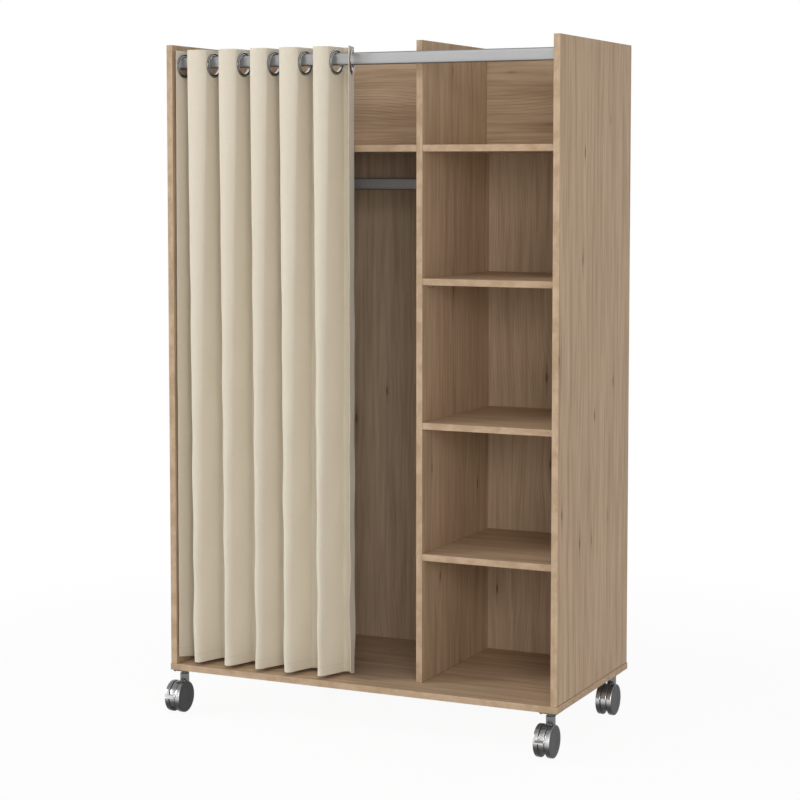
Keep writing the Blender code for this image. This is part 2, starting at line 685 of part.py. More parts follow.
def make_castor(name, x, y, materials, braked):
    """A plate and, turning under it, the housing with its axle, two wheels and any brake lever."""
    swivel = Vector((x, y, 0))
    axle = Vector((x, y - TRAIL, WHEEL_RADIUS))
    make_plate(name, swivel, materials["steel"])
    pivot = bpy.data.objects.new(f"{name}_swivel", None)
    pivot.location = swivel
    bpy.data.collections[WARDROBE].objects.link(pivot)
    pieces = [make_housing(name, swivel, axle, materials["plastic"], braked)]
    bore_end = HOOD_WIDTH / 2 + WHEEL_GAP + WHEEL_WIDTH - WHEEL_FACE
    axle_length = 2 * (bore_end - SEAT_GAP)
    here = place(*axle) @ ACROSS
    pieces.append(cylinder(f"{name}_axle", AXLE_RADIUS, axle_length, SMALL_SIDES, here, materials["steel"]))
    half_side = Matrix.Rotation(math.pi / WHEEL_SIDES, 4, "Z")
    for side_name, turn in (("left", math.pi), ("right", 0)):
        matrix = place(*axle) @ Matrix.Rotation(turn, 4, "Z") @ ACROSS @ half_side
        wheel_name = f"{name}_wheel_{side_name}"
        pieces.append(turned(wheel_name, wheel_profile(), WHEEL_SIDES, matrix, materials["wheel"]))
    if braked:
        pieces.append(make_lever(name, axle, materials["plastic"]))
    for piece in pieces:
        piece.parent = pivot
        piece.matrix_parent_inverse = Matrix.Translation(-pivot.location)


def main():
    clear_scene()
    oak = make_material("oak", (0.46, 0.33, 0.22), 0.55)
    sheet = make_material("back_sheet", (0.40, 0.29, 0.20), 0.6)
    aluminium = make_material("aluminium", (0.62, 0.63, 0.65), 0.35, 1.0)
    zinc = make_material("zinc", (0.5, 0.5, 0.52), 0.4, 1.0)
    chrome = make_material("chrome", (0.55, 0.55, 0.57), 0.12, 1.0)
    steel = make_material("steel", (0.35, 0.35, 0.37), 0.4, 1.0)
    fabric = make_material("fabric", (0.62, 0.56, 0.45), 0.9)
    plastic = make_material("castor_plastic", (0.10, 0.10, 0.10), 0.35)
    wheel = make_material("castor_wheel", (0.12, 0.12, 0.12), 0.35)
    divider, right_side = make_carcass(oak)
    make_backs(sheet)
    make_shelf_pins(divider, right_side, steel)
    rods = (
        ("curtain_rod", "rod_socket", RIGHT_INNER_X, CURTAIN_ROD_Y, CURTAIN_ROD_Z),
        ("hanging_rail", "rail_socket", DIVIDER_X, FRONT_Y + RAIL_SETBACK, TOP_SHELF_Z - RAIL_DROP),
    )
    for rod_name, cup_stem, right, y, z in rods:
        make_rod(rod_name, cup_stem, LEFT_INNER_X, right, y, z, aluminium, zinc)
    make_eyelets(chrome)
    make_curtain(fabric)
    materials = {"steel": steel, "plastic": plastic, "wheel": wheel}
    front, rear = FRONT_Y + CASTOR_FRONT_INSET, REAR_Y - CASTOR_REAR_INSET
    left, right = LEFT_X + CASTOR_SIDE_INSET, RIGHT_X - CASTOR_SIDE_INSET
    for name, x, y, braked in (
        ("castor_front_left", left, front, True),
        ("castor_front_right", right, front, True),
        ("castor_rear_left", left, rear, False),
        ("castor_rear_right", right, rear, False),
    ):
        make_castor(name, x, y, materials, braked)


main()
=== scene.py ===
# %% [markdown]
# A wardrobe on castors with an eyelet curtain. The solid model gives every piece its real place and the
# bodies that move, and it is loaded here as a fixed frame. This notebook dresses it: boards keep their solids
# and get a wood finish, while the curtain, the rings, the rods and the castors are made again in full detail.
# Everything is in metres, +Z up, with the front towards -Y.

# %% Load the frame
import json
import math

import bmesh
import bpy
import numpy as np
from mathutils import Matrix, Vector

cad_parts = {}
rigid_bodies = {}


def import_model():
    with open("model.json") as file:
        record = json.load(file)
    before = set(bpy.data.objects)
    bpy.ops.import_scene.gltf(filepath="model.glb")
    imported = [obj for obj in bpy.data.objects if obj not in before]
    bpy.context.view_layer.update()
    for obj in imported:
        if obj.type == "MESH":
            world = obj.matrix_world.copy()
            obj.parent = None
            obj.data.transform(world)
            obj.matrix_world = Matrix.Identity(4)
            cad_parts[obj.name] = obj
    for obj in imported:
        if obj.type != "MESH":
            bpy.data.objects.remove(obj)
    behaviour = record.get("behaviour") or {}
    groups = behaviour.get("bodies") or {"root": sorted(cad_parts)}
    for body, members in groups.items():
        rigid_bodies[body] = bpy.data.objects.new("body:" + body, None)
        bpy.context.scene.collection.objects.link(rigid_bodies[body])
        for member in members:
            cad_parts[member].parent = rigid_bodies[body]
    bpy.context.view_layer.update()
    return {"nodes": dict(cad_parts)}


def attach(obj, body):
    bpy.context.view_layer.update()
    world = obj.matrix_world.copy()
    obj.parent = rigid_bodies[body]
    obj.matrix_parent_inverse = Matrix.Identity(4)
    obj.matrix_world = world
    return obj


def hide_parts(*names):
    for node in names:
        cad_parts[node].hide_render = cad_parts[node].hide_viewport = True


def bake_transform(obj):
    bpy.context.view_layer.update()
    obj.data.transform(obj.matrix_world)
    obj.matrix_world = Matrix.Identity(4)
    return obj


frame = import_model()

nodes = frame["nodes"]

# %% [markdown]
# The camera stands to the right of the wardrobe at about chest height and looks slightly down. Its place was
# fitted to the cabinet's edges. Most of the lens shift of such a product picture is taken up by the small tilt,
# so that other views, which keep the shift, lose no more than a far corner of the object.

# %% Camera
camera_data = bpy.data.cameras.new("camera")
camera_data.sensor_width = 36
camera_data.lens = 93.734
camera_data.shift_y = -0.094
camera = bpy.data.objects.new("camera", camera_data)
camera.location = (2.19177, -4.65492, 1.34689)
camera.rotation_euler = (math.radians(90 - 4.1442), 0, math.radians(25.0571))
bpy.context.scene.collection.objects.link(camera)
bpy.context.scene.camera = camera
print("camera at", tuple(camera.location))


# %% [markdown]
# Finishes are written as sums. A Wire stands for one output of a shader node, so that an expression such as
# 1 - mask adds the Math node that works it out. A Paint is one material: its node method makes any other node
# from its type, its settings and what goes into its sockets.

# %% Wires and paints
class Wire:
    """One output of a shader node, which Python's operators join with Math nodes."""

    def __init__(self, paint, socket):
        self.paint, self.socket = paint, socket

    def __getitem__(self, name):
        return Wire(self.paint, self.socket.node.outputs[name])

    def __add__(self, other):
        return self.paint.math("ADD", self, other)

    def __radd__(self, other):
        return self.paint.math("ADD", other, self)

    def __sub__(self, other):
        return self.paint.math("SUBTRACT", self, other)

    def __rsub__(self, other):
        return self.paint.math("SUBTRACT", other, self)

    def __mul__(self, other):
        return self.paint.math("MULTIPLY", self, other)

    def __rmul__(self, other):
        return self.paint.math("MULTIPLY", other, self)


class Paint:
    """A material with a Principled shader, and the nodes that feed it."""

    def __init__(self, name, roughness, metallic=0.0):
        self.material = bpy.data.materials.new(name)
        self.material.use_nodes = True
        self.tree = self.material.node_tree
        self.shader = self.tree.nodes["Principled BSDF"]
        self.set(Roughness=roughness, Metallic=metallic)

    def feed(self, socket, value):
        if isinstance(value, Wire):
            self.tree.links.new(value.socket, socket)
        else:
            socket.default_value = (*value, 1) if socket.type == "RGBA" else value

    def node(self, kind, settings=None, sockets=None):
        """A node of one kind: its settings first, then the values or wires of its sockets."""
        node = self.tree.nodes.new(kind)
        for name, value in (settings or {}).items():
            setattr(node, name, value)
        for key, value in (sockets or {}).items():
            self.feed(node.inputs[key], value)
        return Wire(self, node.outputs[0])

    def math(self, operation, *values):
        return self.node("ShaderNodeMath", {"operation": operation}, dict(enumerate(values)))

    def mix(self, share, first, second):
        return self.node("ShaderNodeMix", {"data_type": "RGBA"}, {0: share, 6: first, 7: second})["Result"]

    def noise(self, vector, detail=2.0, roughness=0.5):
        sockets = {"Vector": vector, "Scale": 1.0, "Detail": detail, "Roughness": roughness}
        return self.node("ShaderNodeTexNoise", {}, sockets)

    def ease(self, value, start, end, low=0.0, high=1.0):
        """A smooth step from low to high while the value goes from start to end."""
        sockets = {"Value": value, "From Min": start, "From Max": end, "To Min": low, "To Max": high}
        return self.node("ShaderNodeMapRange", {"interpolation_type": "SMOOTHSTEP"}, sockets)

    def stretched(self, vector, scales, shift=(0.0, 0.0, 0.0)):
        settings = {"operation": "MULTIPLY_ADD"}
        return self.node("ShaderNodeVectorMath", settings, {0: vector, 1: scales, 2: shift})

    def place(self):
        return self.node("ShaderNodeTexCoord")["Object"]

    def split(self, vector):
        return self.node("ShaderNodeSeparateXYZ", {}, {"Vector": vector})

    def mark(self, name):
        """The number that a mesh carries at each point under a name."""
        return self.node("ShaderNodeAttribute", {"attribute_name": name})["Fac"]

    def bump(self, height, distance, strength):
        sockets = {"Height": height, "Distance": distance, "Strength": strength}
        self.set(Normal=self.node("ShaderNodeBump", {}, sockets))

    def set(self, **sockets):
        for name, value in sockets.items():
            self.feed(self.shader.inputs[name.replace("_", " ")], value)


print("a paint can", ", ".join(name for name in vars(Paint) if not name.startswith("_")))


# %% [markdown]
# The studio is a pale floor that runs into a white background. More light would whiten it too, but would bleach
# the wood. So Light Path tells the floor and the world when a camera or mirror ray meets them: such rays see
# white, while the rays that light the object see a plain grey.

# %% Stage and background
SEEN_WHITE = 0.94  # share of plain white in the floor that the camera sees; the rest keeps the shadow
SHADOW_REACH = (0.9, 2.4)  # distances from the middle between which the floor becomes all white
FLOOR_HALF = 30


def seen_directly(paint):
    """1 for camera, mirror and glass rays, otherwise 0."""
    path = paint.node("ShaderNodeLightPath")
    either = paint.math("MAXIMUM", path["Is Camera Ray"], path["Is Glossy Ray"])
    return paint.math("MAXIMUM", either, path["Is Transmission Ray"])


floor_paint = Paint("studio_floor", 0.9)
floor_paint.set(Base_Color=(0.86, 0.86, 0.86))
from_middle = floor_paint.node("ShaderNodeVectorMath", {"operation": "LENGTH"}, {0: floor_paint.place()})
white_share = floor_paint.ease(from_middle["Value"], *SHADOW_REACH, SEEN_WHITE, 1.0)
glow = floor_paint.node("ShaderNodeEmission", {}, {"Color": (1, 1, 1), "Strength": 1.0})
lit = Wire(floor_paint, floor_paint.shader.outputs[0])
shaders = {0: seen_directly(floor_paint) * white_share, 1: lit, 2: glow}
lit_or_white = floor_paint.node("ShaderNodeMixShader", {}, shaders)
floor_paint.feed(floor_paint.tree.nodes["Material Output"].inputs["Surface"], lit_or_white)

floor_mesh = bpy.data.meshes.new("studio_floor")
corners = [(FLOOR_HALF * x, FLOOR_HALF * y, 0) for x, y in ((-1, -1), (1, -1), (1, 1), (-1, 1))]
floor_mesh.from_pydata(corners, [], [(0, 1, 2, 3)])
floor_mesh.materials.append(floor_paint.material)
floor = bpy.data.objects.new("studio_floor", floor_mesh)
bpy.context.scene.collection.objects.link(floor)

WORLD_LEVEL = 0.36
world = bpy.data.worlds.new("studio")
world.use_nodes = True
bpy.context.scene.world = world


class Sky(Paint):
    """The world's nodes, made in the same way as a material's."""

    def __init__(self, world):
        self.tree = world.node_tree


sky = Sky(world)
background = world.node_tree.nodes["Background"]
sky.feed(background.inputs["Color"], (1, 1, 1))
sky.feed(background.inputs["Strength"], WORLD_LEVEL + seen_directly(sky) * (1 - WORLD_LEVEL))
bpy.context.scene.view_settings.view_transform = "Standard"
print("background light", WORLD_LEVEL, "and floor white from", SEEN_WHITE)


# %% [markdown]
# Four large square lamps give the soft light of a product picture. The strongest stands high on the left, so
# that each pleat of the curtain has a bright left edge and fades to the right, and the next beside the camera,
# to light the shelves. Weak ones lift the right side and the tops.

# %% Lamps
AIM = Vector((0, 0, 0.8))  # about the wardrobe's middle


def lamp(name, place, size, watts):
    data = bpy.data.lights.new(name, "AREA")
    data.shape, data.size, data.energy = "SQUARE", size, watts
    obj = bpy.data.objects.new(name, data)
    obj.location = place
    obj.rotation_euler = (AIM - Vector(place)).to_track_quat("-Z", "Y").to_euler()
    bpy.context.scene.collection.objects.link(obj)
    print("lamp", name, watts, "W")


lamp("key", (-5.1, -3.2, 3.0), 2.2, 150)
lamp("camera_side", (2.9, -5.2, 2.0), 2.4, 112)
lamp("right", (5.0, 0.6, 1.8), 2.4, 22)
lamp("top_front", (0.3, -2.6, 4.2), 2.0, 17)

# %% [markdown]
# The boards are chipboard with a printed oak surface. Real grain is much longer than it is wide, so each noise
# is read at a place stretched along the grain. Stretched cells scatter a few knots, and the place is bent round
# each of them before the grain is read, as fibres run round a real knot. Contour lines of a smooth field give
# the arcs of a sawn board. The front edges have a glued band from another print.

# %% Oak finish
OAK_PALE = (0.600, 0.445, 0.300)
OAK_PINK = (0.590, 0.428, 0.296)
OAK_DARK = (0.345, 0.235, 0.145)
OAK_GREY = (0.42, 0.36, 0.30)
KNOT = (0.12, 0.070, 0.038)
BAND_PALE, BAND_DARK = (0.560, 0.410, 0.278), (0.450, 0.316, 0.200)
BAND_EDGE = (0.0009, 0.0005)  # the band fades in between these depths behind the front
KNOT_CELLS = (8.0, 2.0)  # cells of the knots in a metre, across and along the grain


def oak_finish(name, grain, seed, front, arcs=0.35, knots=1.0, greyer=0.0):
    """Printed oak. The grain is two letters, the axis along it and the one across; a seed moves the pattern.

    The front is the Y of the edge with the band. Shares say how strong arcs, knots and a grey cast are.
    """
    paint = Paint(name, 0.5)
    paint.set(Specular_IOR_Level=0.15)
    xyz = paint.split(paint.place())
    along, across = grain
    through = ({"X", "Y", "Z"} - set(grain)).pop()
    combine = "ShaderNodeCombineXYZ"
    place = paint.node(combine, {}, {"X": xyz[across], "Y": xyz[along], "Z": xyz[through]})
    shift = (seed * 3.7, seed * 1.3, seed * 5.1)

    # Knots: the nearest cell's centre, and which cells carry one
    flat = paint.stretched(place, (*KNOT_CELLS, 0), shift)
    cells = paint.node("ShaderNodeTexVoronoi", {"voronoi_dimensions": "2D"}, {"Vector": flat, "Scale": 1.0})
    away = paint.node("ShaderNodeVectorMath", {"operation": "SUBTRACT"}, {0: flat, 1: cells["Position"]})
    sideways, off = paint.split(away)["X"], cells["Distance"]
    red = paint.node("ShaderNodeSeparateColor", {}, {"Color": cells["Color"]})["Red"]
    chosen = paint.ease(red, 0.28, 0.58) * knots
    core = paint.ease(off, 0.037, 0.014) * chosen
    crack = paint.ease(paint.math("ABSOLUTE", sideways), 0.016, 0.004) * paint.ease(off, 0.16, 0.03) * chosen

    # The place is drawn towards a knot's line and wanders a little along the board
    drawn = sideways * paint.ease(off, 0.30, 0.0, 0.0, 0.7 / KNOT_CELLS[0]) * chosen
    wander = paint.noise(paint.stretched(place, (5, 1.3, 5), shift), 2) * 0.030
    bent = paint.node(combine, {}, {"X": xyz[across] - drawn + wander, "Y": xyz[along], "Z": xyz[through]})

    # Fibres, streaks, broad bands, tint and the arcs of the sawn board
    fibres = paint.noise(paint.stretched(bent, (150, 4.5, 150), shift), 4, 0.7)
    streaks = paint.noise(paint.stretched(bent, (52, 1.9, 52), shift), 3, 0.65)
    bands = paint.noise(paint.stretched(bent, (9, 0.6, 9), shift), 2, 0.5)
    tint = paint.noise(paint.stretched(bent, (14, 1.6, 30), shift[::-1]), 3, 0.6)
    field = paint.noise(paint.stretched(bent, (6.0, 2.1, 9.0), shift), 1.5, 0.4)
    level = paint.split(bent)["X"] * 250 + field * 24 + fibres * 0.5
    rings = paint.ease(paint.math("PINGPONG", level, 1.0), 0.35, 1.0) * paint.ease(bands, 0.62, 0.40)
    dark = (
        paint.ease(fibres, 0.36, 0.66) * 0.40
        + paint.ease(streaks, 0.36, 0.68) * 0.36
        + paint.ease(bands, 0.3, 0.7) * 0.14
        + rings * arcs * 0.36
        + paint.ease(off, 0.10, 0.02) * chosen * 0.22
    )
    colour = paint.mix(paint.ease(tint, 0.40, 0.62), OAK_PALE, OAK_PINK)
    colour = paint.mix(dark, colour, OAK_DARK)
    colour = paint.mix(crack * 0.5, colour, KNOT)
    colour = paint.mix(core * 0.85, colour, KNOT)

    # The edge band, with a shorter figure
    figure = paint.noise(paint.stretched(place, (9, 23, 31), shift), 3, 0.6)
    band = paint.mix(paint.ease(figure, 0.36, 0.66), BAND_PALE, BAND_DARK)
    band = paint.mix(paint.ease(fibres, 0.3, 0.7) * 0.22, band, OAK_DARK)
    colour = paint.mix(paint.ease(xyz["Y"], *(front + depth for depth in BAND_EDGE)), colour, band)
    if greyer:
        colour = paint.mix(greyer, colour, OAK_GREY)
    paint.set(Base_Color=colour, Roughness=0.50 + fibres * 0.16)
    paint.bump(0.4 - fibres * 0.5, 0.00012, 0.6)
    return paint.material


FRONT, SHELF_FRONT = -0.2195, -0.1385  # Y of the front edges of the sides, and of the divider and the shelves
LYING_SHELF = {"grain": "XY", "front": SHELF_FRONT, "knots": 0.4}
THIN_BACK = {"grain": "ZX", "front": FRONT, "arcs": 0.6, "greyer": 0.12}
BOARDS = {
    "left_side": {"grain": "ZY", "front": FRONT},
    "right_side": {"grain": "ZY", "front": FRONT},
    "divider": {"grain": "ZY", "front": SHELF_FRONT},
    "bottom_panel": {**LYING_SHELF, "front": FRONT},
    "top_shelf_left": LYING_SHELF,
    "top_shelf_right": LYING_SHELF,
    "shelf_upper": LYING_SHELF,
    "shelf_middle": LYING_SHELF,
    "shelf_lower": LYING_SHELF,
    "back_top": {"grain": "XZ", "front": FRONT, "arcs": 0.9, "knots": 0.3},
    "back_left": THIN_BACK,
    "back_right": THIN_BACK,
}
for seed, (board, values) in enumerate(BOARDS.items(), start=1):
    nodes[board].material_slots[0].material = oak_finish(f"oak_{board}", seed=seed, **values)
print("oak on", len(BOARDS), "boards")


# %% [markdown]
# Every new piece is a surface worked out as arrays of points on a grid. A shell is its points and a list of
# face arrays, one for each number of corners. Where a row of the grid shrinks to one point, or the last row
# repeats the first, the doubled points are merged, which closes the poles and seams, and the faces are then
# turned outwards.

# %% From arrays to pieces
def grid_faces(rows, columns, ring=False):
    """Quads between neighbours of a grid of points; a ring's last column joins its first."""
    r, c = np.meshgrid(np.arange(rows - 1), np.arange(columns if ring else columns - 1), indexing="ij")
    onward = (c + 1) % columns
    quads = (r * columns + c, r * columns + onward, (r + 1) * columns + onward, (r + 1) * columns + c)
    return np.stack(quads, axis=-1).reshape(-1, 4)


def mesh_of(name, shells):
    """One mesh of several shells, closed at its poles and seams and facing outwards."""
    points, faces, start = [], [], 0
    for shell_points, face_arrays in shells:
        flat = np.asarray(shell_points, float).reshape(-1, 3)
        points += flat.tolist()
        for same_size in face_arrays:
            faces += (np.asarray(same_size) + start).tolist()
        start += len(flat)
    mesh = bpy.data.meshes.new(name)
    mesh.from_pydata(points, [], faces)
    bm = bmesh.new()
    bm.from_mesh(mesh)
    bmesh.ops.remove_doubles(bm, verts=bm.verts, dist=1e-6)
    bmesh.ops.recalc_face_normals(bm, faces=bm.faces)
    bm.to_mesh(mesh)
    bm.free()
    return mesh


def points_of(mesh):
    """The places of a mesh's points: points, (x, y, z)."""
    spots = np.empty(len(mesh.vertices) * 3, np.float32)
    mesh.vertices.foreach_get("co", spots)
    return spots.reshape(-1, 3)


def moved(mesh, shift, name):
    """A copy of a mesh, shifted."""
    copy = mesh.copy()
    copy.name = name
    copy.vertices.foreach_set("co", (points_of(mesh) + np.asarray(shift, np.float32)).ravel())
    copy.update()
    return copy


def marked(mesh, name, values):
    """Gives each point of a mesh a number, which a finish reads by its name."""
    mesh.attributes.new(name, "FLOAT", "POINT").data.foreach_set("value", values)


def piece(name, mesh, paint, body, stands_for, crease=35):
    """An object of the wardrobe: smooth but for its creases, with its finish, body and solid."""
    mesh.materials.clear()
    mesh.materials.append(paint.material)
    mesh.shade_smooth()
    mesh.set_sharp_from_angle(angle=math.radians(crease))
    obj = bpy.data.objects.new(name, mesh)
    bpy.context.scene.collection.objects.link(obj)
    if body:
        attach(obj, body)
    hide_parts(stands_for)
    return obj


def softened(path, rounds=2, closed=False):
    """Corner cutting: each round replaces a corner by two points a quarter of the way along its two edges."""
    path = np.asarray(path, float)
    for _ in range(rounds):
        onward = np.roll(path, -1, axis=0) if closed else path[1:]
        here = path if closed else path[:-1]
        pairs = np.stack((0.75 * here + 0.25 * onward, 0.25 * here + 0.75 * onward), axis=1)
        cut = pairs.reshape(-1, path.shape[1])
        path = cut if closed else np.vstack((path[:1], cut[1:-1], path[-1:]))
    return path


def turned(profile, centre, axis, steps, close=False):
    """A lathe shell: each (radius, distance along the axis) of a profile is carried round the axis."""
    profile = np.asarray(profile, float)
    if close:
        profile = np.vstack((profile, profile[:1]))
    axis = np.asarray(axis, float)
    u = np.cross((0, 0, 1) if abs(axis[2]) < 0.9 else (1, 0, 0), axis)
    u /= np.linalg.norm(u)
    v = np.cross(axis, u)
    angle = np.arange(steps) * 2 * math.pi / steps
    spokes = np.cos(angle)[:, None] * u + np.sin(angle)[:, None] * v
    points = np.asarray(centre) + profile[:, :1, None] * spokes + profile[:, 1:, None] * axis
    return points, [grid_faces(len(profile), steps, ring=True)]


print("a corner cut twice has", len(softened([(0, 0), (1, 0), (1, 1)])), "points")

# %% [markdown]
# The curtain rod and the hanging rail are oval aluminium tubes, 30 by 15 mm, and a cast cup holds each end. An
# oval is a short upright line grown by a radius, so the same kind of profile that a lathe carries round a
# point is carried round that line here, and at radius zero it closes on the line.

# %% Oval rods and cups
OVAL_RADIUS, OVAL_HALF_LINE = 0.0075, 0.0075
OVAL_HALF_HEIGHT = OVAL_RADIUS + OVAL_HALF_LINE
OVAL_STEPS = 24  # on each round end


def oval_turned(profile, y, z, close=False):
    """Each (radius, x) of a profile is carried round an upright line: a half circle over it, one under it."""
    profile = np.asarray(profile, float)
    if close:
        profile = np.vstack((profile, profile[:1]))
    half_circle = np.linspace(0, math.pi, OVAL_STEPS + 1)
    angle = np.concatenate((half_circle, half_circle + math.pi))
    line = np.where(np.arange(len(angle)) <= OVAL_STEPS, OVAL_HALF_LINE, -OVAL_HALF_LINE)
    radius, x = profile[:, :1], profile[:, 1:]
    spots = x + 0 * angle, y + radius * np.cos(angle), z + line + radius * np.sin(angle)
    return np.stack(spots, axis=-1), [grid_faces(len(profile), len(angle), ring=True)]


BEND_SHADE_HEIGHTS = (0.0120, 0.0142)  # heights off the axis between which the painted shade on the bends sets in


def metal_finish(name, colour, roughness, scratch, metallic=1.0, axis_z=None):
    """Metal with fine marks in its roughness and relief. A small scratch scale along X draws them out to lines.

    With an axis height, the bends over and under it get a darker colour, which is painted shade.
    """
    paint = Paint(name, roughness, metallic)
    place = paint.place()
    lines = paint.noise(paint.stretched(place, scratch), 3, 0.6)
    cloudy = paint.noise(paint.stretched(place, (20, 20, 20)), 2, 0.5)
    shade = paint.mix(cloudy * 0.4, colour, tuple(0.86 * c for c in colour))
    if axis_z is not None:
        # Painted shade: the bends over and under the axis get a darker colour
        off_axis = paint.math("ABSOLUTE", paint.split(place)["Z"] - axis_z)
        bend = paint.ease(off_axis, *BEND_SHADE_HEIGHTS)
        shade = paint.mix(bend, shade, tuple(0.25 * c for c in colour))
    paint.set(Base_Color=shade, Roughness=(roughness - 0.05) + lines * 0.10)
    paint.bump(lines, 0.00002, 0.5)
    return paint


cup_metal = metal_finish("cast_zinc", (0.48, 0.48, 0.49), 0.36, (300, 300, 300))
ROD_GAP = 0.0021  # between a rod's end and the face beside it
ROD_WALL, ROD_LIP = 0.001, 0.0002
CUP = np.array([  # (radius, distance from the face), from its foot's middle over the lip to the inner floor
    (0, 0.0003), (0.0093, 0.0003), (0.0093, 0.0067), (0.0091, 0.0071), (0.0087, 0.0073),
    (0.0082, 0.0073), (0.0078, 0.0069), (0.0078, 0.0018), (0, 0.0018),
])


def rod_with_cups(rod, cups, left, right, y, z):
    """The tube, and a cup with rounded lips on each of the two faces that it runs between."""
    # The finish paints shade on the bends over and under the rod's axis
    finish = metal_finish(f"{rod}_aluminium", (0.44, 0.44, 0.44), 0.34, (60, 900, 900), 0.6, z)
    first, last = left + ROD_GAP, right - ROD_GAP
    r, wall, lip = OVAL_RADIUS, ROD_WALL, ROD_LIP
    tube = [
        (r, first + lip), (r, last - lip), (r - lip, last),
        (r - wall, last), (r - wall, first), (r - lip, first),
    ]
    piece(rod, mesh_of(rod, [oval_turned(tube, y, z, close=True)]), finish, "carcass", rod)
    for side, face, inwards in (("left", left, 1), ("right", right, -1)):
        cup = CUP * (1, inwards) + (0, face)
        name = f"{cups}_{side}"
        piece(name, mesh_of(name, [oval_turned(cup, y, z)]), cup_metal, "carcass", name)


LEFT, RIGHT = -0.501, 0.501  # inner faces of the two sides
DIVIDER_LEFT, DIVIDER_RIGHT = 0.123, 0.139  # the divider's faces
ROD_SETBACK, RAIL_SETBACK = 0.040, 0.280  # behind the sides' front edges
ROD_Y, ROD_Z = FRONT + ROD_SETBACK, 1.6203
RAIL_Y, RAIL_Z = FRONT + RAIL_SETBACK, 1.322
rod_with_cups("curtain_rod", "rod_socket", LEFT, RIGHT, ROD_Y, ROD_Z)
rod_with_cups("hanging_rail", "rail_socket", LEFT, DIVIDER_LEFT, RAIL_Y, RAIL_Z)
print("rods run from", LEFT, "to", RIGHT, "and to", DIVIDER_LEFT)

# %% [markdown]
# Twelve chromed rings carry the curtain, and each is pressed from two shells that grip the cloth between them.
# The rings hang on the rod with their plane across it, leaning a few degrees to either side in turn, as the
# pleats push them. Each is a lathe shape: a collar, a valley, an outer bead and the groove that holds the
# cloth. Every point carries its place across the rim, and the finish reads it to paint dark reflections in
# the valley and on the outer edge.

# %% Eyelet rings
PITCH = 0.0841  # from one front pleat to the next
LEFT_OUTER, FIRST_RING = -0.517, 0.027  # the left side's outer face, and the first ring's distance from it
EVEN_SHARES = np.array((0.31, 0.36, 0.40, 0.35, 0.44, 0.49))  # where each second ring stands in its pitch
ODD_X = LEFT_OUTER + FIRST_RING + np.arange(6) * PITCH
RING_X = np.stack((ODD_X, ODD_X + EVEN_SHARES * PITCH), axis=1).ravel()
LEAN = np.radians(np.tile((5.5, -5.5), 6))  # to either side in turn
LEAN[-1] = -math.radians(16.6)  # the last pleat is free to open
BORE, RIM = 0.0225, 0.008  # the ring's inner radius, and its width
RING_Z = ROD_Z + OVAL_HALF_HEIGHT + 0.0003 - BORE
GROOVE_RADIUS, GROOVE_HALF = 0.0254, 0.0008


def ring_profile():
    """Round the rim from the bore: a collar, a valley, an outer bead and the groove; then the same mirrored."""
    corners = [
        (BORE, 0), (BORE, 0.0029), (0.0231, 0.0034), (0.0241, 0.0034), (0.0251, 0.0023), (0.0263, 0.0022),
        (0.0276, 0.0031), (0.0289, 0.0032), (0.0301, 0.0025), (0.0305, 0.0014), (0.0305, GROOVE_HALF),
    ]
    half = np.vstack((softened(corners, 2), [(GROOVE_RADIUS, GROOVE_HALF)]))
    return np.vstack((half, half[::-1][:-1] * (1, -1)))


chrome = Paint("chrome_painted_dark_reflections", 0.10, 1.0)
smear = chrome.noise(chrome.stretched(chrome.place(), (160, 160, 160)), 3, 0.6)
rim = chrome.mark("rim_share")
# Painted dark reflections: the valley and the outer edge of the rim get a near-black colour
valley = chrome.ease(rim, 0.22, 0.34) * chrome.ease(rim, 0.62, 0.50)
painted_dark_reflection = chrome.math("MAXIMUM", valley, chrome.ease(rim, 0.90, 0.97))
colour = chrome.mix(painted_dark_reflection, (0.55, 0.55, 0.56), (0.035, 0.035, 0.037))
chrome.set(Base_Color=colour, Roughness=chrome.ease(smear, 0.3, 0.75, 0.06, 0.14))
chrome.bump(smear, 0.00004, 0.4)

ring_bodies = ["carcass"] + [f"ring_{n:02d}" for n in range(2, 13)]
for number, (x, lean, body) in enumerate(zip(RING_X, LEAN, ring_bodies), start=1):
    name = f"eyelet_{number:02d}"
    axis = np.array((math.cos(lean), -math.sin(lean), 0))
    middle = (x, ROD_Y, RING_Z)
    mesh = mesh_of(name, [turned(ring_profile(), middle, axis, 72, close=True)])
    spots = points_of(mesh) - middle
    radius = np.linalg.norm(spots - (spots @ axis)[:, None] * axis, axis=1)
    marked(mesh, "rim_share", (radius - BORE) / RIM)
    piece(name, mesh, chrome, body, name)
print("rings at x", np.round(RING_X, 4))

# %% [markdown]
# The curtain is one sheet of cream cloth, pleated by its rings. From above, the cloth runs in straight strips
# from front to back through the rings, and bends join them: crests in front and troughs at the back. Lower down
# the pleats relax: a crest gets narrower and deeper, and the strips beside it move apart at the back. The ends
# of the strips are worked out at the rings and at the hem, and every row of the cloth lies between the two.

# %% Strips of the pleats
# Depths of a strip's ends behind the sides' front edges: a plain one's, then only the front of the outer two
STRIP_FRONT, STRIP_BACK, FIRST_FRONT, LAST_FRONT = 0.0092, 0.0718, 0.006, 0.002
HEM_FRONT, HEM_LAST_FRONT = 0.015, 0.028  # fronts at the hem
HEM_LEFT_GAP = 0.0045  # from the left side to the first strip's foot
HEM_SHIFT = 0.0035  # how far the strip on a crest's left has moved to the right
HEM_CREST = 0.46  # a crest's width there, as a share of its width at the rings
HEM_LEAN = np.radians([9] + [-16, 21] * 5 + [0])
HEM_LAST_SHIFT = 0.012  # of the free edge, to the left


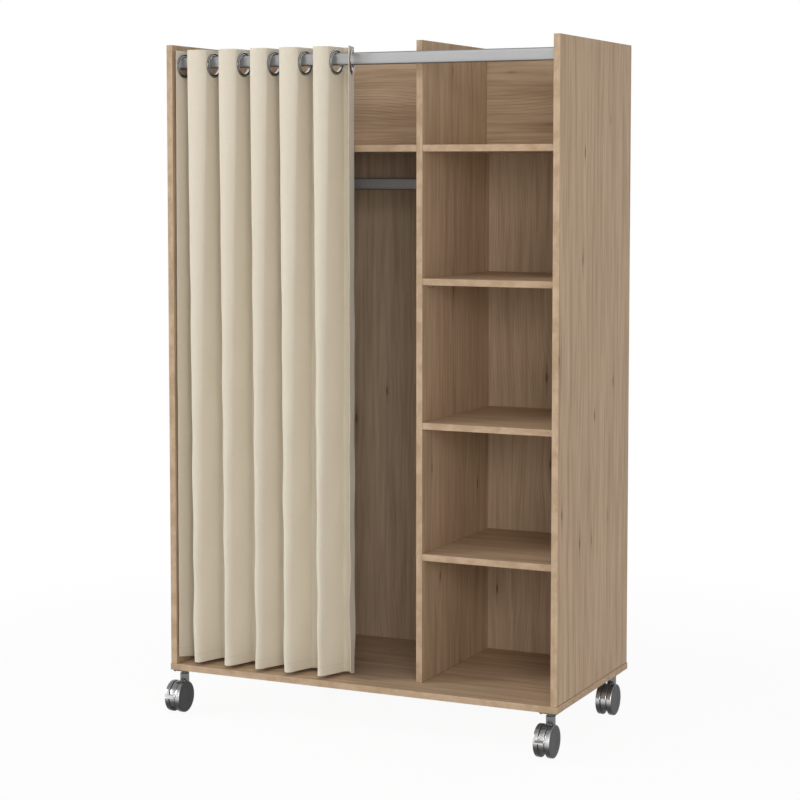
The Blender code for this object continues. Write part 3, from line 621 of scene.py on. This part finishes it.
def strip_ends(change):
    """Ends of the strips for each row's change, 0 at the rings to 1 at the hem: rows, strips, ends, (x, y).

    A strip passes its ring, so x = ring + tan(lean) * (depth - the rod's setback). At the hem it starts from
    its foot in front, so x = foot + tan(hem lean) * (depth - the foot's depth).
    """
    depth = np.tile((STRIP_FRONT, STRIP_BACK), (12, 1))
    depth[[0, -1], 0] = FIRST_FRONT, LAST_FRONT
    hem_depth = depth.copy()
    hem_depth[1:-1, 0], hem_depth[-1, 0] = HEM_FRONT, HEM_LAST_FRONT
    x = RING_X[:, None] + np.tan(LEAN)[:, None] * (depth - ROD_SETBACK)
    foot = x[:, 0].copy()
    foot[0] = LEFT + HEM_LEFT_GAP
    foot[1:-1:2] += HEM_SHIFT
    foot[2::2] = foot[1:-1:2] + HEM_CREST * (x[2::2, 0] - x[1:-1:2, 0])
    hem_x = foot[:, None] + np.tan(HEM_LEAN)[:, None] * (hem_depth - hem_depth[:, :1])
    hem_x[-1] = x[-1] - (HEM_LAST_SHIFT, 0)
    top, hem = np.stack((x, depth), axis=-1), np.stack((hem_x, hem_depth), axis=-1)
    return top + (hem - top) * change[:, None, None, None] + (0, FRONT)


print("strips at the rings and the hem:", np.round(strip_ends(np.array((0, 1)))[:, :3, 0], 3).tolist())


# %% Bends between the strips
TROUGH_HANDLE = 0.0095  # length of a bend's handles at the back
CREST_HANDLES = np.array(((0.022, -0.006), (0.012, 0.004)))  # at a crest's ends: length and its change


def folded(change, stretch, share):
    """Each row's path seen from above, at columns given by a stretch and a share of it: rows, columns, (x, y).

    Even stretches are the strips. Odd ones are bends, cubic curves from a to d whose handles b and c go
    straight on from the strips: (1-t)^3 a + 3 (1-t)^2 t b + 3 (1-t) t^2 c + t^3 d.
    """
    ends = strip_ends(change)
    ends[:, 1::2] = ends[:, 1::2, ::-1].copy()  # every other strip runs from back to front
    first, last = ends[:, :, 0], ends[:, :, 1]
    way = (last - first) / np.linalg.norm(last - first, axis=-1)[..., None]
    handles = np.full((2, len(change), 11, 1), TROUGH_HANDLE)
    handles[:, :, 1::2, 0] = (CREST_HANDLES[:, :1] + CREST_HANDLES[:, 1:] * change)[:, :, None]
    onward, backward = handles
    knots = np.empty((len(change), 23, 4, 2))
    knots[:, 0::2] = first[:, :, None] + (last - first)[:, :, None] * (np.arange(4) / 3)[:, None]
    knots[:, 1::2, 0], knots[:, 1::2, 3] = last[:, :-1], first[:, 1:]
    knots[:, 1::2, 1] = last[:, :-1] + way[:, :-1] * onward
    knots[:, 1::2, 2] = first[:, 1:] - way[:, 1:] * backward
    t = share[:, None]
    weights = np.concatenate(((1 - t) ** 3, 3 * (1 - t) ** 2 * t, 3 * (1 - t) * t**2, t**3), axis=1)
    return np.einsum("ck,rckd->rcd", weights, knots[:, stretch])


print("handles at a crest's ends, in the hem:", CREST_HANDLES.sum(axis=1))

# %% Rows and columns of the cloth
STRIP_CELLS, TROUGH_CELLS, CREST_CELLS = 28, 14, 26
cells = np.full(23, STRIP_CELLS)
cells[1::4], cells[3::4] = TROUGH_CELLS, CREST_CELLS
stretch = np.append(np.repeat(np.arange(23), cells), 22)
share = np.append(np.concatenate([np.arange(n) / n for n in cells]), 1.0)

CLOTH_TOP, HEADING, HEM = 1.6496, 1.5646, 0.128  # heights; the heading round the rings keeps its shape
HEADING_ROWS, LOWER_ROWS = 38, 172
RELAX = 1.6  # with 1 the pleats would change evenly down to the hem, and above 1 they change more at first
ROW_Z = np.append(np.linspace(CLOTH_TOP, HEADING, HEADING_ROWS), np.linspace(HEADING, HEM, LOWER_ROWS)[1:])
drop = np.clip((HEADING - ROW_Z) / (HEADING - HEM), 0, 1)
change = 1 - (1 - drop) ** RELAX
path = folded(change, stretch, share)
length = np.append(0, np.cumsum(np.linalg.norm(np.diff(path[0], axis=0), axis=1)))
print("rows:", len(ROW_Z), "and columns:", len(length))

# %% [markdown]
# Cloth that only followed its pleats would look like bent sheet metal. Slow waves, a millimetre high, run
# through it below the rings. They fade out beside the left side and at the outermost points of the folds, so
# that the cloth keeps clear of the wood, and the two free corners of the hem are drawn up a little.

# %% Surface of the cloth
SIDEWAYS = ((0.0011, 34, 21, 0.0), (0.0008, 19, -47, 1.3))  # a wave's size, steps with height and length, start
INWARDS = ((0.0009, 27, 33, 0.6), (0.0006, 51, -14, 0.0))
CALM_BORDER = 0.03  # beside the left side
CORNER_RISE, CORNER_SHARE = 0.009, 24  # the hem's free corners rise, over one part in 24 of its width


def waves(kinds, length, z):
    """The sum of size * sin(a z + b s + start) over the waves, at height z and place s along the cloth."""
    s, z = length[None, :], z[:, None]
    return sum(size * np.sin(a * z + b * s + start) for size, a, b, start in kinds)


grow = (drop**0.8)[:, None]
depth = (path[..., 1] - FRONT) / STRIP_BACK
off_side = np.clip((path[..., 0] - LEFT) / CALM_BORDER, 0, 1)
x = path[..., 0] + waves(SIDEWAYS, length, ROW_Z) * grow * off_side
y = path[..., 1] + waves(INWARDS, length, ROW_Z) * grow * np.sin(np.clip(depth, 0, 1) * math.pi) ** 0.5
off_middle = np.abs(2 * np.arange(len(length)) / (len(length) - 1) - 1)
at_corner = np.clip(CORNER_SHARE / 2 * (off_middle - 1) + 1, 0, 1)
rise = CORNER_RISE * change[:, None] * at_corner[None, :]
cloth = np.stack((x, y, ROW_Z[:, None] + rise), axis=-1)
print("cloth grid", cloth.shape, "cut width", round(length[-1], 4))

# %% [markdown]
# The cloth is woven like linen: two sets of threads cross, and here and there a thicker stretch of thread, a
# slub, catches the light. The weave lies on the cloth's own map in metres, along the cloth and up from the hem,
# so it bends with every fold. A stitched line closes the hem.

# %% Linen-like cloth
THREADS = 380.0
SEAM_HEIGHT = 0.022  # above the hem
LINEN, LINEN_SOFT = (0.720, 0.650, 0.525), (0.68, 0.605, 0.48)
SLUB, THREAD = (0.59, 0.515, 0.40), (0.45, 0.39, 0.29)
linen = Paint("cream_linen", 0.9)
uv = linen.node("ShaderNodeUVMap", {"uv_map": "cloth"})
weft, warp = (
    linen.node("ShaderNodeTexWave", {"bands_direction": direction}, {"Vector": uv, "Scale": THREADS})
    for direction in "XY"
)
slub_across = linen.noise(linen.stretched(uv, (40, 1400, 1)), 2, 0.5)
slub_down = linen.noise(linen.stretched(uv, (1400, 40, 1)), 2, 0.5)
soft = linen.noise(linen.stretched(uv, (9, 5, 1)), 2, 0.5)
slubs = linen.ease(slub_across, 0.52, 0.74) + linen.ease(slub_down, 0.52, 0.74)
stitch = linen.ease(linen.math("ABSOLUTE", linen.split(uv)["Y"] - SEAM_HEIGHT), 0.0016, 0.0004)
colour = linen.mix(slubs * 0.30, LINEN, SLUB)
colour = linen.mix(soft * 0.35, colour, LINEN_SOFT)
colour = linen.mix(stitch * 0.18, colour, THREAD)
linen.set(Base_Color=colour, Roughness=0.86 + slubs * 0.06, Sheen_Weight=0.25, Sheen_Roughness=0.5)
linen.bump(weft * 0.25 + warp * 0.25 + slubs * 0.6 - stitch * 0.6, 0.00022, 0.6)
print("linen with", len(linen.tree.nodes), "nodes")

# %% [markdown]
# A drawn curtain moves with its rings. So the sheet is cut down the middle of every strip, where a ring holds
# it, and each stretch between two rings is one piece. The first piece is fixed to the carcass and the last goes
# with the last ring; the ones between are tied to no ring. Faces inside a ring's rim are left out, which opens
# the eyelets, and Solidify gives the cloth its thickness.

# %% Cloth pieces between the rings
HOLE = 0.027  # radius of the eyelets in the cloth, under the rings' rims
CLOTH_THICKNESS = 0.001


def cloth_piece(name, first, last):
    """A stretch of the sheet between two columns, with the ring holes left out and its thickness."""
    part = cloth[:, first : last + 1]
    rows, columns = part.shape[:2]
    faces = grid_faces(rows, columns)
    middle = part.reshape(-1, 3)[faces].mean(axis=1)
    rings = np.stack((RING_X, np.full(12, ROD_Y), np.full(12, RING_Z)), axis=1)
    far = np.linalg.norm(middle[:, None] - rings[None], axis=-1).min(axis=1) > HOLE
    faces = faces[far]
    used, faces = np.unique(faces, return_inverse=True)
    faces = faces.reshape(-1, 4)
    mesh = bpy.data.meshes.new(name)
    mesh.from_pydata(part.reshape(-1, 3)[used].tolist(), [], faces.tolist())
    across, up = np.meshgrid(length[first : last + 1], ROW_Z - HEM)
    spots = np.stack((across, up), axis=-1).reshape(-1, 2)[used]
    layer = mesh.uv_layers.new(name="cloth")
    layer.data.foreach_set("uv", spots[faces.ravel()].astype(np.float32).ravel())
    obj = bpy.data.objects.new(name, mesh)
    bpy.context.scene.collection.objects.link(obj)
    solid = obj.modifiers.new("thickness", "SOLIDIFY")
    solid.thickness, solid.offset = CLOTH_THICKNESS, 0
    final = bpy.data.meshes.new_from_object(obj.evaluated_get(bpy.context.evaluated_depsgraph_get()))
    final.name = name
    bpy.data.objects.remove(obj)
    bpy.data.meshes.remove(mesh)
    return final


middles = np.flatnonzero((stretch % 2 == 0) & (share == 0.5)).tolist()
limits = [0, *middles, len(length) - 1]
for n, (first, last) in enumerate(zip(limits, limits[1:])):
    name = f"curtain_cloth_{n + 1:02d}"
    mesh = cloth_piece(name, first, last)
    body = "carcass" if n == 0 else "ring_12" if n == 12 else None
    obj = piece(name, mesh, linen, body, "curtain", crease=50)
    if body is None:
        start, end = float(cloth[:, first, 0].max()), float(cloth[:, last, 0].min())
        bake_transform(obj)
print("cloth pieces:", len(limits) - 1)

# %% [markdown]
# A twin-wheel castor has two moulded wheels beside a hood, on one axle, and the hood's neck turns on the pin of
# a screwed plate. The front two have a foot lever in a slot of the hood. The wheels and the neck are lathe
# shapes, the hood and the lever are outlines with rounded edges, and a Boolean joins neck and hood, because
# they are moulded in one.

# %% Moulded outlines
def outlined(outline, width, edge, centre):
    """A slab across X: the outline in (y, z) at both faces, drawn in by the edge's radius where it rounds."""
    outline = np.asarray(outline, float)
    onward = np.roll(outline, -1, axis=0) - np.roll(outline, 1, axis=0)
    normal = np.stack((onward[:, 1], -onward[:, 0]), axis=1)
    normal /= np.linalg.norm(normal, axis=1)[:, None]
    area = np.sum(outline[:, 0] * np.roll(outline[:, 1], -1) - np.roll(outline[:, 0], -1) * outline[:, 1])
    normal *= np.sign(area)
    t = np.linspace(0, math.pi / 2, 5)
    inset = np.concatenate((edge * (1 - np.sin(t)), edge * (1 - np.cos(t))))
    across = np.concatenate((-width / 2 + edge * (1 - np.cos(t)), width / 2 - edge * (1 - np.sin(t))))
    flat = outline[None] - inset[:, None, None] * normal[None]
    x = np.broadcast_to(across[:, None, None], (*flat.shape[:2], 1))
    points = np.concatenate((x, flat), axis=-1) + np.asarray(centre)
    rows, columns = flat.shape[:2]
    ends = np.arange(rows * columns).reshape(rows, columns)[[0, -1]]
    return points, [grid_faces(rows, columns, ring=True), ends]


def cut_or_joined(mesh, tools):
    """A mesh after a row of exact Booleans with (operation, mesh) tools."""
    scene = bpy.context.scene.collection.objects
    made = [bpy.data.objects.new(m.name, m) for m in (mesh, *(tool for _, tool in tools))]
    for obj in made:
        scene.link(obj)
    for (operation, _), tool in zip(tools, made[1:]):
        boolean = made[0].modifiers.new(tool.name, "BOOLEAN")
        boolean.operation, boolean.solver, boolean.object = operation, "EXACT", tool
    final = bpy.data.meshes.new_from_object(made[0].evaluated_get(bpy.context.evaluated_depsgraph_get()))
    for obj in made:
        bpy.data.objects.remove(obj)
    return final


print("a square slab has", len(outlined([(0, 0), (1, 0), (1, 1), (0, 1)], 1, 0.1, (0, 0, 0))[0]), "layers")

# %% Castor shapes round the swivel axis
X_AXIS, Z_AXIS = (1, 0, 0), (0, 0, 1)
AXLE_Y, AXLE_Z = -0.026, 0.039
AXLE = (0, AXLE_Y, AXLE_Z)
PIN = (0, AXLE_Y - 0.022, AXLE_Z + 0.006)  # the lever turns on it
HOOD_WIDTH, HOOD_RADIUS, HOOD_EDGE, HUB_RADIUS = 0.014, 0.0382, 0.0014, 0.013
WHEEL_RADIUS, WHEEL_WIDTH, WHEEL_INNER = 0.039, 0.013, 0.0078
WELL_RADIUS, WELL_INNER, WELL_OUTER = 0.0402, 0.0067, 0.025  # room for the wheels, cut into the neck
AXLE_RADIUS, AXLE_HALF, AXLE_BORE = 0.003, 0.0165, 0.0033
PIN_RADIUS, PIN_HALF, PIN_HOLE = 0.0016, 0.0066, 0.002
LEVER_RADIUS, POCKET_RADIUS, POCKET_HALF = 0.015, 0.0156, 0.0041
BORE_CUTTER, HOLE_CUTTER = 0.02, 0.01  # how far they reach from the middle, past what they cut


def rod_of(radius, start, end, centre, steps, name):
    """A plain cylinder along X between two distances from a centre."""
    profile = [(0, start), (radius, start), (radius, end), (0, end)]
    return mesh_of(name, [turned(profile, centre, X_AXIS, steps)])


def hood_outline():
    """(y, z) round the axle: a disc's arc from -32 to 212 degrees, and a hub's from 238 to 302."""
    arcs = ((HOOD_RADIUS, -32, 212, 73), (HUB_RADIUS, 238, 302, 13))
    angles = [(radius, np.radians(np.linspace(start, end, count))) for radius, start, end, count in arcs]
    return np.vstack([radius * np.stack((-np.cos(a), np.sin(a)), 1) for radius, a in angles])


# (radius, height) of the neck, round the blind bore that takes the plate's swivel pin
NECK = [
    (0, 0.059), (0.0115, 0.059), (0.0115, 0.0917), (0.0108, 0.0924),
    (0.0051, 0.0924), (0.0051, 0.0681), (0, 0.0681),
]
SLOT_LOW, SLOT_HIGH = np.array((-POCKET_HALF, -0.0682, 0.0416)), np.array((POCKET_HALF, -0.0600, 0.0545))
CORNERS = np.array([(i, j, k) for i in (0, 1) for j in (0, 1) for k in (0, 1)])
SIDES = [(0, 1, 3, 2), (4, 6, 7, 5), (0, 4, 5, 1), (2, 3, 7, 6), (0, 2, 6, 4), (1, 5, 7, 3)]


def housing_mesh(braked):
    """Hood and neck in one, with the wheels' wells, the axle's bore and any slot for the lever."""
    hood = mesh_of("hood", [outlined(hood_outline(), HOOD_WIDTH, HOOD_EDGE, AXLE)])
    neck = mesh_of("neck", [turned(NECK, (0, 0, 0), Z_AXIS, 48)])
    sides = ((WELL_INNER, WELL_OUTER), (-WELL_OUTER, -WELL_INNER))
    wells = [rod_of(WELL_RADIUS, start, end, AXLE, 96, "well") for start, end in sides]
    neck = cut_or_joined(neck, [("DIFFERENCE", well) for well in wells])
    bore = rod_of(AXLE_BORE, -BORE_CUTTER, BORE_CUTTER, AXLE, 32, "bore")
    tools = [("UNION", neck), ("DIFFERENCE", bore)]
    if braked:
        pocket = rod_of(POCKET_RADIUS, -POCKET_HALF, POCKET_HALF, PIN, 64, "pocket")
        slot = mesh_of("slot", [(SLOT_LOW + CORNERS * (SLOT_HIGH - SLOT_LOW), [SIDES])])
        pin = rod_of(PIN_RADIUS, -PIN_HALF, PIN_HALF, PIN, 24, "pin")
        tools += [("DIFFERENCE", pocket), ("DIFFERENCE", slot), ("UNION", pin)]
    return cut_or_joined(hood, tools)


print("hood outline with", len(hood_outline()), "points round", AXLE)

# %% Wheels and levers
BORE_MOUTH, MOUTH_DEPTH, OUTER_WALL = 0.0045, 0.0008, 0.004  # the blind bore's wide start, and what closes it
DULL_RADIUS, SHOULDER_GAP_SHADE = 0.0372, 0.0012  # a wheel's flat disc, and the shoulder next to the hood, darkened as painted shade in the gap
RIM_SHARES = [  # (radius, width) as shares of the wheel's, from the disc over the tread
    (0.55, 1.0), (0.93, 0.99), (0.98, 0.94), (1.0, 0.83), (1.0, 0.16), (0.985, 0.05), (0.955, 0.0),
]


def wheel_mesh(side):
    """Tread, narrow shoulders and an almost flat outer disc, softened from the solid's profile; blind bore."""
    rim = softened(np.array([(0.0, 0.96), (0.30, 0.965)] + RIM_SHARES), 3) * (WHEEL_RADIUS, WHEEL_WIDTH)
    rim[:, 1] += WHEEL_INNER
    start, end = WHEEL_INNER + MOUTH_DEPTH, WHEEL_INNER + WHEEL_WIDTH - OUTER_WALL
    bore = [(BORE_MOUTH, WHEEL_INNER), (AXLE_BORE, start), (AXLE_BORE, end), (0, end)]
    profile = np.vstack((rim, bore)) * (1, side)
    mesh = mesh_of("wheel", [turned(profile, AXLE, X_AXIS, 96)])
    spots = np.abs(points_of(mesh) - AXLE)
    # The disc keeps its own dark plastic; the inner shoulder next to the hood gets the same colour as painted
    # shade in the gap
    on_disc = np.linalg.norm(spots[:, 1:], axis=1) < DULL_RADIUS
    in_gap_shade = spots[:, 0] < WHEEL_INNER + SHOULDER_GAP_SHADE
    marked(mesh, "dull", (on_disc | in_gap_shade).astype(float))
    return mesh


LEVER_REACH = 0.034
LEVER_WIDTH, LEVER_EDGE = 0.0074, 0.0003
TAB_WIDTH, TAB_EDGE = 0.022, 0.0005
STEM_END = [(0.0204, 0.0019), (0.0204, 0.0051)]
LEVER_TAB = [  # shares of the lever's reach
    (0.54, 0.05), (0.54, 0.165), (0.72, 0.15), (0.93, 0.075), (1.0, 0.015), (1.0, -0.03), (0.72, 0.05),
]


def lever_mesh():
    """The foot lever on its pin: a round body in the hood's pocket, a stem and a wide tab with soft edges."""
    a = np.radians(np.linspace(20, 367, 49))
    body = np.vstack((LEVER_RADIUS * np.stack((np.cos(a), np.sin(a)), 1), STEM_END))
    tab = softened(np.array(LEVER_TAB), 2, closed=True) * LEVER_REACH
    body = mesh_of("lever_body", [outlined(body * (-1, 1), LEVER_WIDTH, LEVER_EDGE, PIN)])
    tab = mesh_of("lever_tab", [outlined(tab * (-1, 1), TAB_WIDTH, TAB_EDGE, PIN)])
    hole = rod_of(PIN_HOLE, -HOLE_CUTTER, HOLE_CUTTER, PIN, 24, "hole")
    return cut_or_joined(body, [("UNION", tab), ("DIFFERENCE", hole)])


print("wheels", 2 * WHEEL_RADIUS, "across and", WHEEL_WIDTH, "wide, levers", LEVER_REACH, "long")

# %% [markdown]
# The castors are moulded in plastic with a thin metal coat, which looks like smoky steel. This white studio
# mirrors evenly in it, where the photograph has a bright stretch at mid height. So that stretch is written into
# the colour as a painted highlight, by height on the piece, and lower down the colour is darkened as painted
# shade. The wheels' discs have no coat, and their inner shoulders get the discs' dark colour as painted shade
# in the gap beside the hood.

# %% Coated plastic
# The coat's own colour, with a painted shade for low down and a painted highlight for mid height
COAT_PAINTED_SHADE, COAT, COAT_PAINTED_HIGHLIGHT = (0.055, 0.055, 0.056), (0.19, 0.19, 0.192), (0.70, 0.70, 0.705)
# the discs' own plastic, also used as painted shade on the wheels' inner shoulders
DISC_AND_GAP_SHADE_COLOUR = (0.036, 0.037, 0.038)
SCUFF = (0.15, 0.15, 0.15)
COAT_METALLIC = 0.75
SHADE_FADE = (0.022, 0.046)  # heights between which the colour goes from the painted shade to the coat's
HIGHLIGHT_START, HIGHLIGHT_END = (0.030, 0.047), (0.066, 0.052)  # heights over which the painted highlight sets in, from each side


def plastic_finish(name, disc=None):
    """Coated plastic with faint scuffs, and light painted by height: painted shade below, the coat's colour
    above and a painted highlight in between.

    Where a wheel's mark is 1, the colour is the disc's: its plain uncoated plastic on the disc, and painted
    shade on the inner shoulder in the gap beside the hood.
    """
    paint = Paint(name, 0.2, COAT_METALLIC)
    gloss = 0.18
    place = paint.place()
    height = paint.split(place)["Z"]
    # Light painted by height: painted shade low down and a painted highlight at mid height
    bright = paint.ease(height, *HIGHLIGHT_START) * paint.ease(height, *HIGHLIGHT_END)
    base = paint.mix(paint.ease(height, *SHADE_FADE), COAT_PAINTED_SHADE, COAT)
    base = paint.mix(bright, base, COAT_PAINTED_HIGHLIGHT)
    if disc:
        # The disc's colour: plain plastic on the disc, painted shade on the inner shoulder in the gap beside
        # the hood
        dull = paint.mark("dull")
        base = paint.mix(dull, base, disc)
        gloss = dull * 0.22 + gloss
        paint.set(Metallic=(1 - dull) * COAT_METALLIC, Specular_IOR_Level=0.2)
    fine = paint.noise(paint.stretched(place, (2200, 2200, 2200)), 2, 0.5)
    scuff = paint.ease(paint.noise(paint.stretched(place, (120, 320, 320)), 4, 0.65), 0.55, 0.75)
    paint.set(Base_Color=paint.mix(scuff * 0.15, base, SCUFF), Roughness=scuff * 0.12 + gloss)
    paint.bump(fine, 0.00003, 0.5)
    return paint


hood_plastic = plastic_finish("hood_plastic")
wheel_plastic = plastic_finish("wheel_plastic", DISC_AND_GAP_SHADE_COLOUR)
plate_steel = metal_finish("plated_steel", (0.12, 0.12, 0.125), 0.34, (220, 220, 220))
print("coated plastic with", len(hood_plastic.tree.nodes), "nodes")

# %% The four castors
housings = {braked: housing_mesh(braked) for braked in (True, False)}
wheels = {"left": wheel_mesh(-1), "right": wheel_mesh(1)}
lever = lever_mesh()
axle = rod_of(AXLE_RADIUS, -AXLE_HALF, AXLE_HALF, AXLE, 24, "axle")
CASTOR_X, CASTOR_FRONT, CASTOR_REAR = 0.493, -0.1945, 0.2315  # of the swivel axes
CASTORS = {
    "front_left": (-CASTOR_X, CASTOR_FRONT, True),
    "front_right": (CASTOR_X, CASTOR_FRONT, True),
    "rear_left": (-CASTOR_X, CASTOR_REAR, False),
    "rear_right": (CASTOR_X, CASTOR_REAR, False),
}
for corner, (cx, cy, braked) in CASTORS.items():
    at = (cx, cy, 0)
    stem = f"castor_{corner}"
    name = f"{stem}_housing"
    piece(name, moved(housings[braked], at, name), hood_plastic, f"{corner}_fork", name)
    name = f"{stem}_axle"
    piece(name, moved(axle, at, name), plate_steel, f"{corner}_fork", name)
    for side, wheel in wheels.items():
        name = f"{stem}_wheel_{side}"
        piece(name, moved(wheel, at, name), wheel_plastic, f"{corner}_wheel_{side}", name)
    if braked:
        name = f"{stem}_brake_lever"
        piece(name, moved(lever, at, name), hood_plastic, f"{corner}_brake", name)
    nodes[f"{stem}_plate"].material_slots[0].material = plate_steel.material
print("castors:", ", ".join(CASTORS))

# %% [markdown]
# Four small steel pins carry the upper shelf, the only one that can be moved. Each is a lathe shape with a
# thick end under the shelf and a thin one in its hole in the board.

# %% Shelf pins
SHELF_PIN_Z = 1.0777
SHELF_PIN_Y = {"front": -0.1015, "rear": 0.2362}
SHELF_PIN = [  # (radius, distance from the board's face)
    (0, 0.010), (0.0036, 0.010), (0.004, 0.0096), (0.004, 0.0003),
    (0.0025, 0.0003), (0.0025, -0.009), (0, -0.009),
]
pin_steel = metal_finish("pin_steel", (0.50, 0.50, 0.51), 0.3, (300, 300, 300))
for end, py in SHELF_PIN_Y.items():
    for side, px, axis in (("left", DIVIDER_RIGHT, (1, 0, 0)), ("right", RIGHT, (-1, 0, 0))):
        name = f"shelf_pin_{end}_{side}"
        mesh = mesh_of(name, [turned(SHELF_PIN, (px, py, SHELF_PIN_Z), axis, 32)])
        piece(name, mesh, pin_steel, "carcass", name)
print("shelf pins at height", SHELF_PIN_Z)

# %% [markdown]
